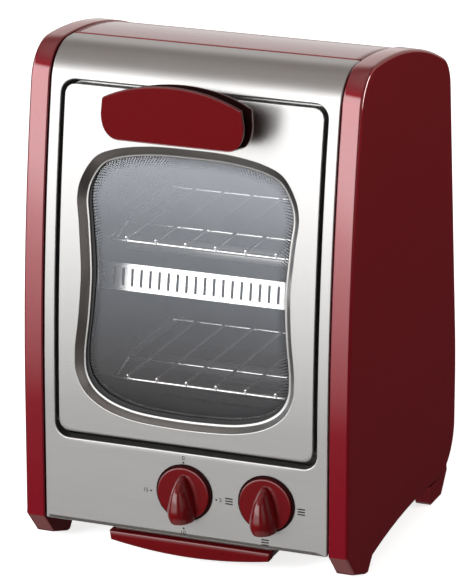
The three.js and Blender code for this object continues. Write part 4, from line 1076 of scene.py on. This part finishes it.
# Racks
# Bright plated wire: a bent frame, one cross wire, and six long wires whose front ends turn down
# over the frame and end in a round bead.
chrome_wire = new_material("chrome_wire", (0.80, 0.80, 0.80), 0.16, 1.0)
add_grain(chrome_wire, 500, ((0.74, 0.74, 0.74), (0.85, 0.85, 0.85)), (0.12, 0.24),
          bump=0.03, height=0.00002)
rack_front, rack_shoulder, rack_rear = front_y + 32.5, front_y + 85.9, 57.3
front_half, shoulder_half, rear_half = 64, 75.5, 76.5
frame_wire, rack_wire, wire_sides = 1.5, 1.1, 12
cross_back, wire_count, wire_pitch = 41.4, 6, 21.9
bead_radius, bead_latitudes = 1.7, (-1.4, -1, -.5, 0, .5, 1, 1.4)


def bead(x, y, z):
    """The round front end of a wire, as a stack of rings."""
    rings = []
    for latitude in bead_latitudes:
        reach = bead_radius * math.cos(latitude)
        rings.append([(x + reach * across, y + reach * back, z + bead_radius * math.sin(latitude))
                      for across, back in circle(14)])
    return loft(rings)


for level, z in (("upper", 222.617), ("lower", 122.8)):
    right_side = [
        (rear_half - 3, rack_rear, z), (rear_half - 0.9, rack_rear - 0.8, z), (rear_half, rack_rear - 3, z),
        (shoulder_half, rack_shoulder, z), (front_half, rack_front, z),
    ]
    left_side = [(-x, y, z) for x, y, _ in reversed(right_side)]
    bars = [tube_along(left_side + right_side, frame_wire)]
    front_reach = front_half + frame_wire
    bars.append(tube_along([(-front_reach, rack_front, z), (front_reach, rack_front, z)], frame_wire))
    cross_y = rack_front + cross_back
    cross_half = front_half + (shoulder_half - front_half) * cross_back / (rack_shoulder - rack_front)
    bars.append(tube_along([(-cross_half, cross_y, z), (cross_half, cross_y, z)], rack_wire, wire_sides))
    wire_z = z + frame_wire + rack_wire - 0.3
    for i in range(wire_count):
        x = (i - (wire_count - 1) / 2) * wire_pitch
        bend = [
            (x, rack_front - 1.1 * (1 - t) ** 2 + 6 * t * t, wire_z - 2.6 * (1 - t) ** 2)
            for t in (0, .25, .5, .75, 1)
        ]
        bars.append(tube_along(bend + [(x, rack_rear + 1.0, wire_z)], rack_wire, wire_sides))
        bars.append(bead(x, rack_front - 0.2, wire_z + 0.2))
    make_piece(f"grid_{level}", bars, chrome_wire, f"rack_{level}", (f"{level}_rack",), sharp=60)

# Room
# A plain pale floor, a white background, and soft light: a broad front-left box, a dim wall behind and above.
# The floor keeps the oven's shadow and is hidden from reflections.
floor_material = new_material("floor", (0.80, 0.80, 0.80), 0.9, 0.0)
floor_material.node_tree.nodes["Principled BSDF"].inputs["Emission Color"].default_value = (1, 1, 1, 1)
floor_tree = floor_material.node_tree
floor_path = node(floor_material, "ShaderNodeLightPath")
floor_lift = node(floor_material, "ShaderNodeMath", operation="MULTIPLY")
floor_lift.inputs[1].default_value = 0.72
floor_tree.links.new(floor_path.outputs["Is Camera Ray"], floor_lift.inputs[0])
floor_tree.links.new(
    floor_lift.outputs["Value"], floor_tree.nodes["Principled BSDF"].inputs["Emission Strength"],
)
floor_mesh = bpy.data.meshes.new("floor")
floor_mesh.from_pydata([(-6, -6, 0), (6, -6, 0), (6, 6, 0), (-6, 6, 0)], [], [(0, 1, 2, 3)])
floor_mesh.materials.append(floor_material)
floor = bpy.data.objects.new("floor", floor_mesh)
floor.location.z = -0.0002
floor.visible_glossy = False
bpy.context.collection.objects.link(floor)


def soft_lamp(name, place, aim, size, energy):
    """A round lamp at a place, turned to what it lights."""
    lamp = bpy.data.lights.new(name, "AREA")
    lamp.shape, lamp.size, lamp.energy = "DISK", size, energy
    light = bpy.data.objects.new(name, lamp)
    light.location = place
    light.rotation_euler = (Vector(aim) - Vector(place)).to_track_quat("-Z", "Y").to_euler()
    bpy.context.collection.objects.link(light)
    return light


# A soft lamp at the right and behind lights the side panel; the case keeps it off the front
soft_lamp("side_lamp", (1.6, 0.9, 0.45), (0.119, 0.0, 0.18), 0.9, 17.0)
front_lamp = soft_lamp("front_lamp", (-0.62, -1.52, 0.62), (0, 0, 0.18), 0.35, 12.0)
front_lamp.visible_glossy = False

world = bpy.data.worlds.new("studio")
bpy.context.scene.world = world
world.use_nodes = True
sky = world.node_tree
sky.nodes.clear()


def sky_math(operation, *values):
    """A chain of math nodes over values that are numbers or outputs of nodes."""
    result = values[0]
    for value in values[1:] or (0.0,):
        made = node(world, "ShaderNodeMath", operation=operation)
        for place, term in zip(made.inputs, (result, value)):
            if isinstance(term, (int, float)):
                place.default_value = term
            else:
                sky.links.new(term, place)
        result = made.outputs["Value"]
    return result


def ramp_between(value, start, end, low=0.0, high=1.0):
    """Goes smoothly from low to high as the value goes from start to end."""
    made = node(world, "ShaderNodeMapRange", interpolation_type="SMOOTHSTEP", **{
        "From Min": start, "From Max": end, "To Min": low, "To Max": high,
    })
    sky.links.new(value, made.inputs["Value"])
    return made.outputs["Result"]


# The sky in degrees: rise is 90 overhead, turn is 0 in front, 90 at the oven's left, -90 at its right
ray = node(world, "ShaderNodeTexCoord")
way = node(world, "ShaderNodeSeparateXYZ")
sky.links.new(ray.outputs["Generated"], way.inputs["Vector"])
degrees_a_radian = 180 / math.pi
rise = sky_math("MULTIPLY", sky_math("ARCSINE", way.outputs["Z"]), degrees_a_radian)
to_left = sky_math("MULTIPLY", way.outputs["X"], -1.0)
to_front = sky_math("MULTIPLY", way.outputs["Y"], -1.0)
turn = sky_math("MULTIPLY", sky_math("ARCTAN2", to_left, to_front), degrees_a_radian)

# The front box fades towards the floor and ends above, as (rise, strength)
box_strength = 3.7
box_stops = [
    (-24.0, 0.008), (-21.0, 0.02), (-19.5, 0.05), (-17.0, 0.16), (-14.0, 0.25), (-9.4, 0.40), (-6.3, 0.56),
    (-4.5, 0.74), (-2.5, 0.91), (0.0, 0.95), (33.0, 0.95), (36.5, 0.6), (39.0, 0.2), (42.0, 0.03),
]
box_rise = node(world, "ShaderNodeValToRGB")
box_ends = box_rise.color_ramp.elements
box_ends[0].position, box_ends[1].position = 0.0, 1.0
box_ends[0].color = box_ends[1].color = (0, 0, 0, 1)
for at_rise, value in box_stops:
    stop = box_rise.color_ramp.elements.new((at_rise + 90) / 180)
    stop.color = (value, value, value, 1)
sky.links.new(sky_math("DIVIDE", sky_math("ADD", rise, 90.0), 180.0), box_rise.inputs["Fac"])
box_right, box_left = ramp_between(turn, -30.0, -5.0), ramp_between(turn, 65.0, 85.0, 1.0, 0.0)
box_sides = sky_math("MULTIPLY", box_right, box_left)
front_box = sky_math("MULTIPLY", box_rise.outputs["Color"], box_sides, box_strength)

behind = sky_math(
    "MULTIPLY", ramp_between(sky_math("ABSOLUTE", turn), 115.0, 140.0), ramp_between(rise, -12.0, -6.0),
    ramp_between(rise, 26.0, 48.0, 0.85, 0.3), ramp_between(way.outputs["X"], -0.2, 0.35, 1.0, 0.45),
)
above = sky_math(
    "MULTIPLY", ramp_between(rise, 38.0, 46.0, 0.1, 1.0), ramp_between(rise, 75.0, 90.0, 1.0, 0.6),
    ramp_between(rise, 48.0, 72.0, 0.27, 0.52),
)
below = ramp_between(rise, -65.0, -40.0, 0.32, 0.004)
off_strip = sky_math("ABSOLUTE", sky_math("ADD", turn, 68.0))
beside = sky_math(
    "MULTIPLY", ramp_between(off_strip, 8.0, 22.0, 1.0, 0.03), ramp_between(rise, -16.0, -1.0, 0.05, 0.5),
    ramp_between(rise, 25.0, 40.0, 1.0, 0.1),
)
light = sky_math("MAXIMUM", front_box, behind, beside, above, below)

# The camera sees plain white; dim parts of the light are a little warmer than bright ones
seen = node(world, "ShaderNodeLightPath").outputs["Is Camera Ray"]
strength = node(world, "ShaderNodeMix", data_type="FLOAT")
sky.links.new(seen, strength.inputs["Factor"])
sky.links.new(light, strength.inputs[2])
strength.inputs[3].default_value = 1.0
tone = node(world, "ShaderNodeMix", data_type="RGBA")
sky.links.new(sky_math("MAXIMUM", seen, ramp_between(strength.outputs[0], 0.3, 1.2)), tone.inputs["Factor"])
tone.inputs[6].default_value = (1.0, 0.88, 0.82, 1)
tone.inputs[7].default_value = (1, 1, 1, 1)
glow = node(world, "ShaderNodeBackground")
sky.links.new(tone.outputs[2], glow.inputs["Color"])
sky.links.new(strength.outputs[0], glow.inputs["Strength"])
sky_out = node(world, "ShaderNodeOutputWorld")
sky.links.new(glow.outputs["Background"], sky_out.inputs["Surface"])
